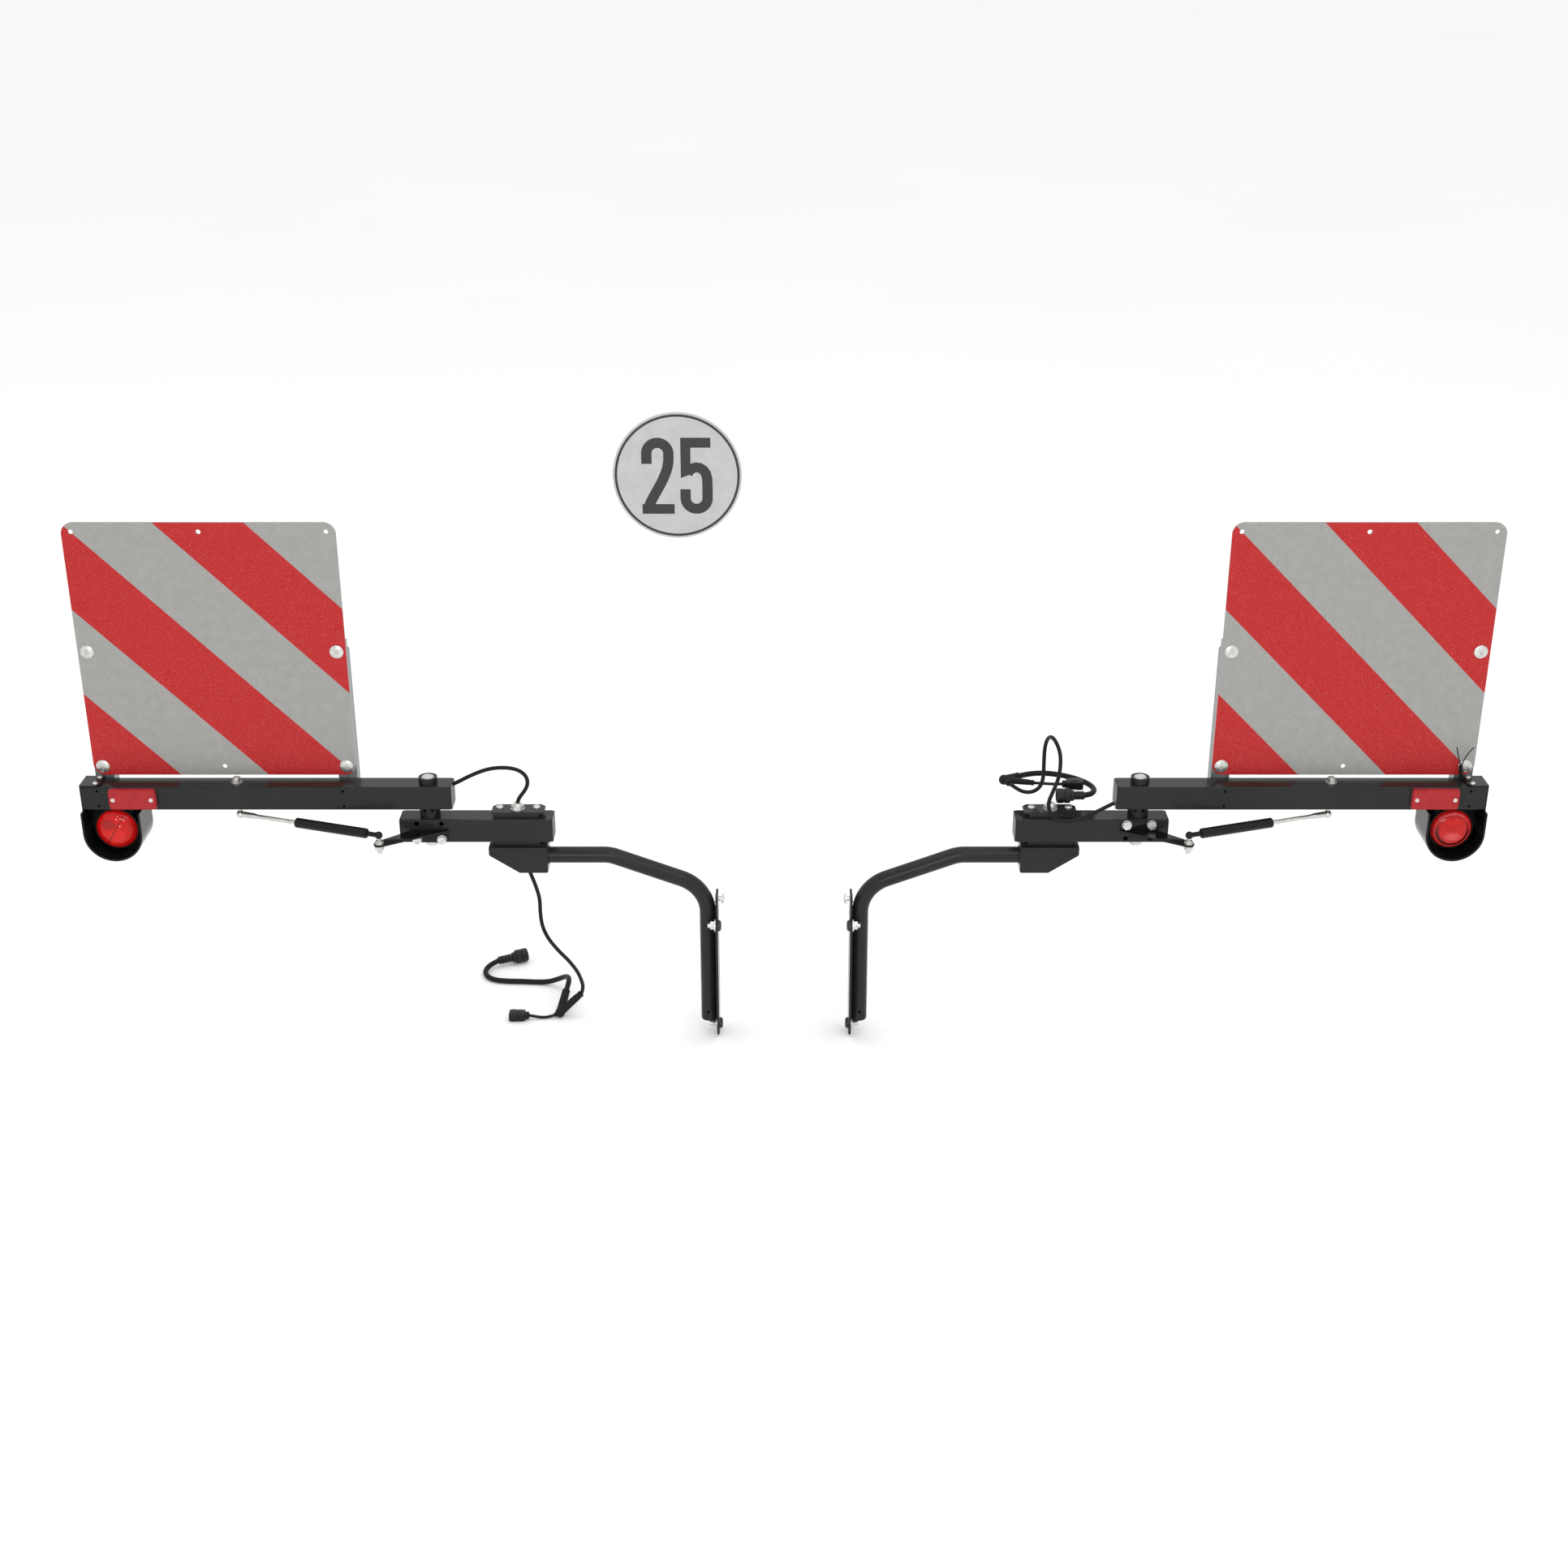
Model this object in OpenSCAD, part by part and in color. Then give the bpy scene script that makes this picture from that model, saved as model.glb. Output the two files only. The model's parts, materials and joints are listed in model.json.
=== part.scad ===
// Folding warning-board brackets with rear lights, a handed pair, and one round speed plate.
// Frame: X across the machine (0 is the machine's centreline), Y forward, Z up.
// Y = 0 is the centre plane of the beams and the support tubes. Z = 0 is near the middle mounting bolt.

/* [Warning board] */
// Side length of the square warning board
board_s = 423; // [400:1:430]
// Thickness of the board
board_t = 3; // [2:0.5:4]
// Corner radius of the board
board_r = 19; // [10:1:30]
// Distance of the hole centres from the board's edges
board_hole_in = 15; // [12:1:20]
// Diameter of the board's fixing holes
board_hole_d = 7.5; // [6.5:0.5:9]

/* [Beams] */
// Outside size of the square beams
beam_s = 40; // [40:1:42]
// Wall of the square beams
beam_wall = 3; // [2:0.5:4]
// Distance of the fold pivot from the centreline
pivot_x = 572.6; // [565:0.1:580]
// Diameter of the pivot bolt's shank
pivot_d = 12; // [10:1:14]
// Radial running clearance of the pivot bush
run_clear = 0.05; // [0.02:0.01:0.1]

/* [Support tube] */
// Outside diameter of the support tube
tube_d = 26.9; // [25:0.1:30]
// Wall of the support tube
tube_wall = 2.6; // [2:0.1:4]

/* [Gas strut] */
// Outside diameter of the strut's cylinder
strut_d = 16.4; // [14:0.2:18]
// Diameter of the strut's rod
rod_d = 7; // [6:0.5:8]
// Length of the strut's cylinder
strut_body = 126; // [120:1:130]

/* [Lamp] */
// Outside diameter of the lamp's lens
lens_d = 66; // [60:1:68]
// Outside radius of the lamp hood's bend
hood_r = 47.5; // [46:0.5:49]
// Thickness of the hood's strip
hood_t = 3; // [2:0.5:4]

/* [Speed plate] */
// Diameter of the round speed plate
disc_d = 200; // [180:1:220]

/* [Hidden] */
$fn = 48;

black = [0.17, 0.18, 0.18];
deep = [0.09, 0.09, 0.09];
zinc = [0.74, 0.74, 0.72];

h = beam_s / 2;
ob_z = 242.1;               // outer beam centre height
ib_z = 184.4;               // inner beam centre height
ob_top = ob_z + h;
ob_bot = ob_z - h;
ib_top = ib_z + h;
ib_bot = ib_z - h;
board_x0 = -1113;           // outer edge of the left board
board_z0 = 268;             // lower edge of the boards
board_y = h - board_t;      // front face of the boards
tube_z = 133;               // height of the tube's level stretch
tube_slope = asin(0.352);   // its middle stretch falls 0.352 in 1
bend_r1 = 55;               // centreline radius of the shallow bend
bend_r2 = 65;               // centreline radius of the long bend
leg_x = -126;               // the tube's vertical leg
plate_x0 = -112.5;          // outward face of the left mounting plate
plate_t = 4;
lever_z = 184.4;            // underside of the strut levers
ball = [-pivot_x - 72, -72, 201.9];      // strut's ball on the lever
stud = [-pivot_x - 307.7, 0, 206.2];     // strut's ball under the outer beam
strut_v = stud - ball;
strut_len = norm(strut_v);
strut_az = atan2(strut_v[1], strut_v[0]);
strut_el = asin(strut_v[2] / strut_len);
hood_x = -1081;
hood_z = 184;
lamp_x = -1079;
lamp_z = 186;

// children at the left, or mirrored to the right
module at_side(right) { if (right) mirror([1, 0, 0]) children(); else children(); }
module both() { at_side(false) children(); at_side(true) children(); }

module rounded(w, d, r) {
  square([w - 2 * r, d], center = true);
  square([w, d - 2 * r], center = true);
  for (x = [-1, 1], y = [-1, 1]) translate([x * (w / 2 - r), y * (d / 2 - r)]) circle(r = r);
}
// prism along X with a rounded section in Y and Z
module bar_x(x0, x1, w, d, r, z) {
  translate([x0, 0, z]) rotate([90, 0, 90]) linear_extrude(x1 - x0) rounded(w, d, r);
}
module hexprism(af, t) { cylinder(h = t, d = af / cos(30), $fn = 6); }
module along_y(x, y, z) { translate([x, y, z]) rotate([-90, 0, 0]) children(); }
// flat-ended bolt head with a rounded rim, standing on z = 0
module dome_head(d, t) {
  rotate_extrude() polygon([[0, 0], [d / 2, 0], [d / 2, t * 0.35], [d / 2 * 0.9, t * 0.72], [d / 2 * 0.7, t * 0.93], [d / 2 * 0.35, t], [0, t]]);
}

// ---- swept cords ----
function unit(v) = v / norm(v);
function dir_at(p, i) = unit(p[min(i + 1, len(p) - 1)] - p[max(i - 1, 0)]);
function square_to(v, t) = unit(v - (v * t) * t);
function carry(p, i, n) = i == len(p) ? [] : let (m = square_to(n, dir_at(p, i))) concat([m], carry(p, i + 1, m));
module cord(p, d, s = 10, up = [0, 1, 0.1]) {
  n = carry(p, 0, square_to(up, dir_at(p, 0)));
  m = len(p);
  pts = [for (i = [0 : m - 1]) let (t = dir_at(p, i), b = cross(t, n[i])) for (k = [0 : s - 1])
    p[i] + d / 2 * (cos(360 * k / s) * n[i] + sin(360 * k / s) * b)];
  sides = [for (i = [0 : m - 2]) for (k = [0 : s - 1]) let (a = i * s + k, b = i * s + (k + 1) % s) [a, a + s, b + s, b]];
  polyhedron(points = pts, faces = concat([[for (k = [0 : s - 1]) k]], sides, [[for (k = [s - 1 : -1 : 0]) (m - 1) * s + k]]), convexity = 10);
}

jumper_pts = [[-531.8, 10, 255.6], [-510, 12, 266.5], [-488, 13, 276], [-470, 13, 281], [-450, 11, 283], [-434, 8.5, 282], [-421.5, 5.5, 277.5], [-413.5, 3.5, 268], [-413, 2.5, 256.5], [-418.5, 2, 246], [-426.5, 2, 236], [-431, 2, 226.9]];
harness_pts = [[-418, -9, 114], [-405.8, -11, 77.6], [-401.5, -11, 56], [-401.5, -11, 32], [-399.5, -9, 7], [-392, -5, -17.3], [-378, 5, -45.6], [-361.6, 20, -75.4], [-349.6, 38, -107.1], [-345.2, 50.5, -130], [-343.6, 57.5, -146.5], [-347, 60, -160]];
thick_l_pts = [[-376, 88, -170], [-373.2, 107, -163.5], [-375.4, 123.5, -164.6], [-382, 138, -171], [-394, 150, -181.5], [-412, 158.5, -192], [-431, 161.8, -195.2], [-463, 164.2, -195.2], [-492, 165.5, -195.2], [-512.2, 170, -195], [-526, 181.5, -194.5], [-531, 199, -193], [-525, 215, -191], [-511, 228, -188.5]];
thin_l_pts = [[-394, 45, -195], [-408, 42, -197.3], [-423, 41, -195.5], [-437, 40, -192]];
loop_pts = [[531.7, -12.3, 231.2], [518.5, -14.5, 225], [503.5, -16.5, 217.5], [488, -20.5, 211.5], [472, -24.5, 207.5], [455, -27, 205.5], [439, -27.5, 208], [427.5, -25, 219.5], [424.5, -21.5, 235.5], [431, -17, 252], [439.5, -13, 275], [442, -9.5, 299], [440.5, -6, 317], [434.5, 5, 331], [429, 21, 333], [424.5, 36, 321.5], [422.5, 43.5, 302.5], [422.5, 45, 277], [422, 40.5, 252.5], [417, 35.5, 238], [405, 36, 229], [391.5, 43, 226], [381, 56, 226.5], [371, 70, 229]];
thick_r_pts = [[389, 98, 230], [405, 106, 230], [426, 110, 230], [448, 107.5, 229.5], [469, 99, 229], [488, 85, 228.6], [501.5, 68, 228.2], [507.5, 49, 228], [502, 32, 228], [488, 24.5, 228]];
thin_r_pts = [[411, 68, 231], [426, 63, 232], [442, 61, 232], [457, 61, 232]];
wire_a_pts = [[1087, 5, 289], [1084, 5, 297], [1080.5, 5, 308], [1077, 5, 321]];
wire_b_pts = [[1088.5, 5, 289], [1090.5, 5, 297], [1096, 5, 310], [1104, 5, 321]];

// ---- fixed bracket ----
// level stretch, shallow bend, sloping stretch, long bend and vertical leg
module tube_run(d, e) {
  translate([-440 - e, 0, tube_z]) rotate([0, 90, 0]) cylinder(h = 146.05 + e, d = d);
  translate([-293.95, 0, tube_z - bend_r1]) rotate([90, 0, 0]) rotate([0, 0, 90 - tube_slope]) rotate_extrude(angle = tube_slope) translate([bend_r1, 0]) circle(d = d);
  translate([-274.59, 0, tube_z - 3.52]) rotate([0, 90 + tube_slope, 0]) cylinder(h = 113.75, d = d);
  translate([leg_x - bend_r2, 0, 28.6]) rotate([90, 0, 0]) rotate_extrude(angle = 90 - tube_slope) translate([bend_r2, 0]) circle(d = d);
  translate([leg_x, 0, -170 - e]) cylinder(h = 198.6 + e, d = d);
}
module support_tube(right) {
  color(black) at_side(right) difference() {
    tube_run(tube_d, 0);
    tube_run(tube_d - 2 * tube_wall, 1);
    along_y(leg_x - 1, -h, -155) cylinder(h = 20, d = 4.5);
  }
}
module mount_plate(right) {
  color(black) at_side(right) {
    difference() {
      translate([plate_x0, 0, 0]) rotate([90, 0, 90]) linear_extrude(plate_t) difference() {
        union() {
          translate([0, -67]) rounded(40, 260, 6);
          translate([0, -70]) rounded(72, 190, 8);
        }
        translate([0, 52.5]) circle(d = 10.5);
        for (y = [-24, 24]) translate([y, 14.7]) circle(d = 10.5);
        translate([0, -183]) circle(d = 10.5);
      }
    }
  }
}
module mount_bolts() {
  color(zinc) both() {
    // upper bolt, still loose in its hole
    translate([plate_x0 - 1.4, 0, 52.5]) rotate([0, 90, 0]) cylinder(h = 10.8, d = 7.9);
    translate([plate_x0 + plate_t + 5.3, 0, 52.5]) rotate([0, 90, 0]) dome_head(17, 5);
    translate([plate_x0 - 1.4, 0, 52.5]) rotate([0, 90, 0]) difference() { cylinder(h = 1.4, d = 14); translate([0, 0, -1]) cylinder(h = 4, d = 7.9); }
    // middle and lower bolts
    for (p = [[-24, 14.7], [0, -183]]) {
      translate([plate_x0 - 13, p[0], p[1]]) rotate([0, 90, 0]) cylinder(h = 17.5, d = 7.9);
      translate([plate_x0 - 2, p[0], p[1]]) rotate([0, 90, 0]) difference() { cylinder(h = 2, d = p[0] == 0 ? 20 : 22); translate([0, 0, -1]) cylinder(h = 4, d = 7.9); }
      translate([plate_x0 - 8.5, p[0], p[1]]) rotate([0, 90, 0]) difference() { hexprism(13, 6.5); translate([0, 0, -1]) cylinder(h = 9, d = 7.9); }
      translate([plate_x0 + plate_t, p[0], p[1]]) rotate([0, 90, 0]) dome_head(19, 5.5);
    }
  }
}
module channel_outline() {
  polygon([[-479, 154.4], [-384, 154.4], [-384, 111.5], [-386.2, 109.4], [-430.5, 109.4], [-477.6, 140], [-479, 142.6]]);
}
module clamp_channel(right) {
  color(black) at_side(right) difference() {
    translate([0, 20, 0]) rotate([90, 0, 0]) linear_extrude(40) channel_outline();
    // open underneath, with walls at front, back, top, the sloping side and the tube's end
    translate([0, 17, 0]) rotate([90, 0, 0]) linear_extrude(34) polygon([[-476, 151.4], [-387, 151.4], [-387, 100], [-421, 100], [-421, 106.9], [-474.7, 141.7]]);
    translate([-400, 0, tube_z]) rotate([0, 90, 0]) cylinder(h = 30, d = tube_d);
    for (x = [-461, -401]) translate([x, 7.5, 150]) cylinder(h = 6, d = 8);
  }
}
module hat(z0, up) {
  // U-section plate: web away from the beam, two short flanges against it
  translate([0, 0, z0]) scale([1, 1, 1]) {
    wz = up ? 7 : 0;
    difference() {
      union() {
        translate([0, 0, wz]) linear_extrude(3) difference() {
          polygon([[-470, -12.5], [-390, -12.5], [-387, -9.5], [-387, 13], [-394, 20], [-465, 20], [-472.5, 13], [-472.5, -9.5]]);
          for (x = [-461, -401]) translate([x, 7.5]) circle(d = 8);
          translate([-431, 2]) circle(d = 12);
        }
        for (y = [-12.5, 17]) translate([-469.5, y, up ? 0 : 2.9]) cube([74.3, 3, 7.1]);
      }
    }
  }
}
module clamp_plates() {
  color(black) both() {
    hat(ib_top, true);
    hat(ib_bot - 10, false);
  }
}
module clamp_bolts() {
  color(zinc) both() for (x = [-461, -401]) {
    translate([x, 7.5, ib_top + 10]) dome_head(12, 3.2);
    translate([x, 7.5, ib_bot - 17]) cylinder(h = beam_s + 27.2, d = 7.9);
    translate([x, 7.5, ib_bot - 17]) difference() { hexprism(13, 4); translate([0, 0, -1]) cylinder(h = 12, d = 7.9); }
  }
}
module inner_beam(right) {
  color(black) at_side(right) difference() {
    bar_x(-617, -377, beam_s, beam_s, 2.2, ib_z);
    bar_x(-618, -376, beam_s - 2 * beam_wall, beam_s - 2 * beam_wall, 1, ib_z);
    translate([-pivot_x, 0, ib_bot - 1]) cylinder(h = beam_s + 2, d = pivot_d);
    for (x = [-20, 20], z = [-13, 13]) along_y(-pivot_x + x, -h - 1, ib_z + z) cylinder(h = 5, d = 8);
    for (x = [-461, -401]) translate([x, 7.5, ib_bot - 1]) cylinder(h = beam_s + 2, d = 8);
    translate([-431, 2, ib_bot - 1]) cylinder(h = beam_s + 2, d = 12);
  }
}
module square_cap(x_in, out, z, hole) {
  // push-in end cap: a rim outside the tube and a spigot inside it
  s = out > 0 ? 1 : -1;
  difference() {
    union() {
      bar_x(min(x_in, x_in + out), max(x_in, x_in + out), beam_s, beam_s, 4, z);
      bar_x(min(x_in - s * 9, x_in), max(x_in - s * 9, x_in), beam_s - 2 * beam_wall, beam_s - 2 * beam_wall, 2, z);
    }
    if (hole != undef) translate([x_in - s * 12, hole[0], hole[1]]) rotate([0, s * 90, 0]) cylinder(h = 20, d = 6.6);
    bar_x(x_in - s * 12 - (s > 0 ? 0 : 11), x_in - s * 12 + (s > 0 ? 11 : 0), beam_s - 2 * beam_wall - 5, beam_s - 2 * beam_wall - 5, 2, z);
  }
}
module inner_end_caps() {
  color(deep) both() {
    square_cap(-377, 3.5, ib_z);
    square_cap(-617, -3.5, ib_z);
    translate([leg_x, 0, -172]) cylinder(h = 2, d = tube_d - 1);
    translate([leg_x, 0, -170]) cylinder(h = 9, d = tube_d - 2 * tube_wall);
  }
}
module pivot_collars() {
  color(deep) both() translate([-pivot_x, 0, ib_top]) difference() {
    cylinder(h = 17.4, d = 33);
    translate([0, 0, 7.5]) cylinder(h = 12, d = 23);
    translate([0, 0, -1]) cylinder(h = 12, d = pivot_d);
    for (a = [0, 45, 90, 135]) rotate([0, 0, a + 22.5]) translate([-20, -2.6, 11.8]) cube([40, 5.2, 8]);
  }
}
module pivot_bolts() {
  color(zinc) both() translate([-pivot_x, 0, 0]) {
    translate([0, 0, ib_bot - 12.4]) cylinder(h = 116.8, d = pivot_d);
    translate([0, 0, 268.8]) rotate_extrude() polygon([[0, 0], [10, 0], [10, 3.2], [9, 4.2], [7.8, 4.2], [7, 3.6], [0, 3.6]]);
    translate([0, 0, ib_bot - 10.5]) difference() { hexprism(18, 10.5); translate([0, 0, -1]) cylinder(h = 13, d = pivot_d); }
  }
}
module lever_plate() {
  difference() {
    union() {
      linear_extrude(3) polygon([[-601, -20], [-543, -20], [-541.5, -24], [-581.7, -45.4], [-640.1, -79.8], [-650.2, -65], [-603, -23]]);
      translate([ball[0], ball[1], 0]) cylinder(h = 3, r = 9);
    }
    translate([ball[0], ball[1], -1]) cylinder(h = 5, d = 8);
  }
}
module lever_bracket(right) {
  zb = right ? 197.5 : 171.5;
  color(black) at_side(right) difference() {
    union() {
      translate([0, 0, lever_z]) lever_plate();
      if (right) translate([-601, -20, lever_z]) rotate([90, 0, 0]) linear_extrude(3) translate([29, 9.3]) rounded(58, 18.6, 4);
      else translate([-601, -20, lever_z - 18.6]) rotate([90, 0, 0]) linear_extrude(3) translate([29, 10.8]) rounded(58, 21.6, 5);
    }
    for (x = [-20, 20]) along_y(-pivot_x + x, -h - 8, zb) cylinder(h = 12, d = 8);
  }
}
module lever_bolts() {
  color(zinc) for (right = [false, true]) at_side(right) for (x = [-20, 20]) along_y(-pivot_x + x, -h, right ? 197.5 : 171.5) {
    translate([0, 0, -3]) cylinder(h = 12, d = 7.9);
    translate([0, 0, -9]) rotate([0, 0, 10]) hexprism(13, 6);
    translate([0, 0, -4.2]) difference() { cylinder(h = 1.2, d = 15.5); translate([0, 0, -1]) cylinder(h = 3, d = 7.9); }
  }
}
module lever_ball_studs() {
  color(zinc) both() translate([ball[0], ball[1], 0]) {
    translate([0, 0, lever_z - 13.5]) cylinder(h = 16.5, d = 8);
    translate([0, 0, lever_z + 3]) cylinder(h = 2.4, d = 14.6);
    translate([0, 0, lever_z + 5.4]) cylinder(h = 3, d = 11);
    translate([0, 0, lever_z + 8.4]) cylinder(h = ball[2] - lever_z - 8.4, d = 4.6);
    translate([0, 0, ball[2]]) sphere(r = 4);
    translate([0, 0, lever_z - 7]) difference() { hexprism(13, 7); translate([0, 0, -1]) cylinder(h = 9, d = 8); }
  }
}
module cable_glands() {
  color(zinc) both() translate([-431, 2, ib_top + 10]) difference() {
    union() {
      cylinder(h = 1.4, d = 23);
      translate([0, 0, 1.4]) hexprism(19, 4.2);
      translate([0, 0, 5.6]) rotate_extrude() polygon([[0, 0], [8.4, 0], [8, 2.6], [6.6, 4.6], [4.6, 5.6], [0, 5.6]]);
      translate([0, 0, -12.9]) cylinder(h = 12.9, d = 12);
    }
    translate([0, 0, -14]) cylinder(h = 28, d = 6.5);
  }
}

// ---- cords ----
module left_jumper_cable() { color(deep) cord(jumper_pts, 6.4, 10); }
module right_loop_cable() { color(deep) cord(loop_pts, 6.4, 10, [0, 0.3, 1]); }
module left_harness_cable() { color(deep) cord(harness_pts, 6.4, 10); }
module left_thick_branch() { color(deep) cord(thick_l_pts, 9.2, 10, [0, 0, 1]); }
module right_thick_branch() { color(deep) cord(thick_r_pts, 9.2, 10, [0, 0, 1]); }
module left_thin_lead() { color(deep) cord(thin_l_pts, 5, 8, [0, 0, 1]); }
module right_thin_lead() { color(deep) cord(thin_r_pts, 5, 8, [0, 0, 1]); }
// straight moulded limb from a, running past b by e
module limb(a, b, d, e = 0) { cord([a, (a + b) / 2, b + e * unit(b - a)], d, 12, [0.1, 0.2, 1]); }
module harness_y_blocks() {
  color(deep) {
    union() {
      limb([-347, 60, -160], [-384, 48, -191.2], 13, 5);
      limb([-376, 88, -170], [-384, 48, -191.2], 14.5, 6);
      limb([-394, 45, -195], [-384, 48, -191.2], 8, 3);
    }
    union() {
      limb([371, 70, 229], [363, 84, 229.5], 12, 5);
      limb([389, 98, 230], [363, 84, 229.5], 14, 6);
      limb([411, 68, 231], [363, 84, 229.5], 11, 3);
    }
  }
}
module round_plug(a, b) {
  v = b - a;
  translate(a) rotate([0, 0, atan2(v[1], v[0])]) rotate([0, 90 - asin(v[2] / norm(v)), 0]) {
    cylinder(h = norm(v) - 28, d = 14.5);
    translate([0, 0, norm(v) - 28]) cylinder(h = 6, d = 18);
    translate([0, 0, norm(v) - 22]) cylinder(h = 22, d = 24.5);
  }
}
module round_plugs() {
  color(deep) {
    round_plug([-511, 228, -188.5], [-462.5, 249.3, -187.5]);
    round_plug([488, 24.5, 228], [443, 23, 228]);
  }
}
module flat_plug() {
  translate([0, 0, 0]) rotate([90, 0, 90]) linear_extrude(27) rounded(20, 15.4, 2.5);
  translate([-6, 0, 0]) rotate([90, 0, 90]) linear_extrude(6) rounded(13, 10, 3);
}
module flat_plugs() {
  color(deep) {
    translate([-443, 40, -192.2]) rotate([0, 0, 180]) flat_plug();
    translate([463, 61, 232]) flat_plug();
  }
}
module speed_disc() { color([0.8, 0.8, 0.8]) along_y(-165.4, 75, 748.4) cylinder(h = 2, d = disc_d); }

// ---- folding arm ----
module outer_beam(right) {
  color(black) at_side(right) difference() {
    bar_x(-1125.5, -537, beam_s, beam_s, 2.2, ob_z);
    bar_x(-1127, -536, beam_s - 2 * beam_wall, beam_s - 2 * beam_wall, 1, ob_z);
    translate([-pivot_x, 0, ob_bot - 1]) cylinder(h = beam_s + 2, d = 30);
    for (x = [-1101, -707], z = [-13.2, 12.7]) along_y(x, -h - 1, ob_z + z) cylinder(h = beam_s + 2, d = 4.5);
    translate([stud[0], 0, ob_bot - 1]) cylinder(h = beam_s + 2, d = 8);
    for (y = [-12.5, 12.5]) translate([-1104, y, ob_top - 5]) cylinder(h = 6, d = 4);
    for (x = [-1074, -1013]) along_y(x, -h - 1, 244) cylinder(h = 6, d = 3.5);
    if (right) translate([-1091, 5, ob_top - 5]) cylinder(h = 6, d = 6.8);
  }
}
module beam_cap(right) {
  color(deep) at_side(right) square_cap(-537, 3.5, ob_z, right ? [-12, 232] : [10, 254.5]);
}
module hinge_bush(right) {
  color(deep) at_side(right) translate([-pivot_x, 0, ob_bot]) difference() {
    cylinder(h = 50.5, d = 30);
    translate([0, 0, -1]) cylinder(h = 60, d = pivot_d + 2 * run_clear);
    translate([0, 0, 46.5]) cylinder(h = 10, d = 21);
  }
}
module board_holes() {
  i = board_hole_in;
  s = board_s;
  for (p = [[i, s - i], [s / 2, s - i], [s - i, s - i], [i, s / 2], [s - i, s / 2], [i, i], [s / 2, i], [s - i, i]]) translate(p) circle(d = board_hole_d);
}
module warning_board(right) {
  color([0.74, 0.18, 0.18]) at_side(right) translate([board_x0, h, board_z0]) rotate([90, 0, 0]) linear_extrude(board_t) difference() {
    translate([board_s / 2, board_s / 2]) rounded(board_s, board_s, board_r);
    board_holes();
  }
}
module angle_bracket(x_flat, x_side) {
  // flat leg behind the board and down the beam, side leg standing off backwards
  difference() {
    translate([x_flat, h + 3, 0]) rotate([90, 0, 0]) linear_extrude(3) difference() {
      union() {
        translate([15, 359.5]) rounded(30, 275, 6);
      }
      for (z = [board_z0 + board_hole_in, board_z0 + board_s / 2]) translate([x_flat < -900 ? 15 : 15, z]) circle(d = 7);
      translate([x_flat < -900 ? 12 : 13, ob_z + 12.7]) circle(d = 4.5);
      translate([x_flat < -900 ? 12 : 13, ob_z - 13.2]) circle(d = 4.5);
    }
  }
  translate([x_side, h, 0]) rotate([90, 0, 90]) linear_extrude(3) difference() {
    union() {
      translate([0, 222]) square([10, 275]);
      translate([12, 354.5]) rounded(24, 253, 9);
      translate([0, 228]) square([12, 253]);
    }
    square([1, 1]);
  }
}
module board_brackets(right) {
  color([0.55, 0.57, 0.57]) at_side(right) {
    angle_bracket(-1113, -1086);
    angle_bracket(-720, -693);
  }
}
module board_bolts(right) {
  color(zinc) at_side(right) {
    for (x = [-1098, -705], z = [board_z0 + board_hole_in, board_z0 + board_s / 2]) {
      translate([x, board_y, z]) rotate([90, 0, 0]) dome_head(22, 3);
      along_y(x, board_y, z) cylinder(h = 14, d = 6.9);
      along_y(x, h + 3, z) rotate([0, 0, 15]) difference() { hexprism(11, 5.5); translate([0, 0, -1]) cylinder(h = 8, d = 6.9); }
    }
    for (x = [-1101, -707], z = [-13.2, 12.7]) along_y(x, h - 4, ob_z + z) {
      cylinder(h = 7, d = 4.4);
      translate([0, 0, 7]) dome_head(8.4, 2.6);
    }
  }
}
module lamp_hood(right) {
  color(deep) at_side(right) {
    difference() {
      union() {
        // bent strip round the lamp
        translate([hood_x, 32.5, hood_z]) rotate([90, 0, 0]) linear_extrude(65) difference() {
          union() {
            circle(r = hood_r);
            translate([-hood_r, 0]) square([2 * hood_r, 37]);
          }
          circle(r = hood_r - hood_t);
          translate([-hood_r + hood_t, 0]) square([2 * hood_r - 2 * hood_t, 50]);
        }
        // end plate on the beam's outer end, and its flange on top
        translate([hood_x - hood_r, -20, 218]) cube([hood_t, 40, ob_top - 215]);
        translate([hood_x - hood_r, 0, ob_top]) linear_extrude(3) polygon([[0, -20], [28, -20], [32.5, -15.5], [32.5, 15.5], [28, 20], [0, 20]]);
        // back plate that carries the lamp
        translate([hood_x, 23, hood_z]) rotate([90, 0, 0]) linear_extrude(3) union() {
          intersection() { circle(r = hood_r - hood_t + 0.2); translate([-60, -60]) square([120, 97]); }
          translate([-hood_r + hood_t - 0.2, 0]) square([2 * hood_r - 2 * hood_t + 0.4, 37]);
        }
      }
      for (y = [-12.5, 12.5]) translate([-1104, y, ob_top - 1]) cylinder(h = 6, d = 5);
    }
  }
}
module lamp_housing(right) {
  color(deep) at_side(right) {
    along_y(lamp_x, -11, lamp_z) difference() {
      cylinder(h = 31, d = 70);
      translate([0, 0, -1]) cylinder(h = 22, d = 58);
    }
    // bulb holder and bulb
    along_y(lamp_x, 10, lamp_z) mirror([0, 0, 1]) { cylinder(h = 8, d = 15); translate([0, 0, 13]) sphere(r = 7); }
  }
}
module lamp_lens(right) {
  color([0.85, 0.05, 0.05]) at_side(right) along_y(lamp_x, -25, lamp_z) rotate_extrude() polygon([
    [0, 0], [10, 0.5], [19, 2], [26, 4.8], [30.5, 8.4], [lens_d / 2, 12], [lens_d / 2, 14], [28.9, 14], [28.9, 10.4], [24.4, 7], [18, 4.6], [9.6, 3.1], [0, 2.6]]);
}
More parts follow.
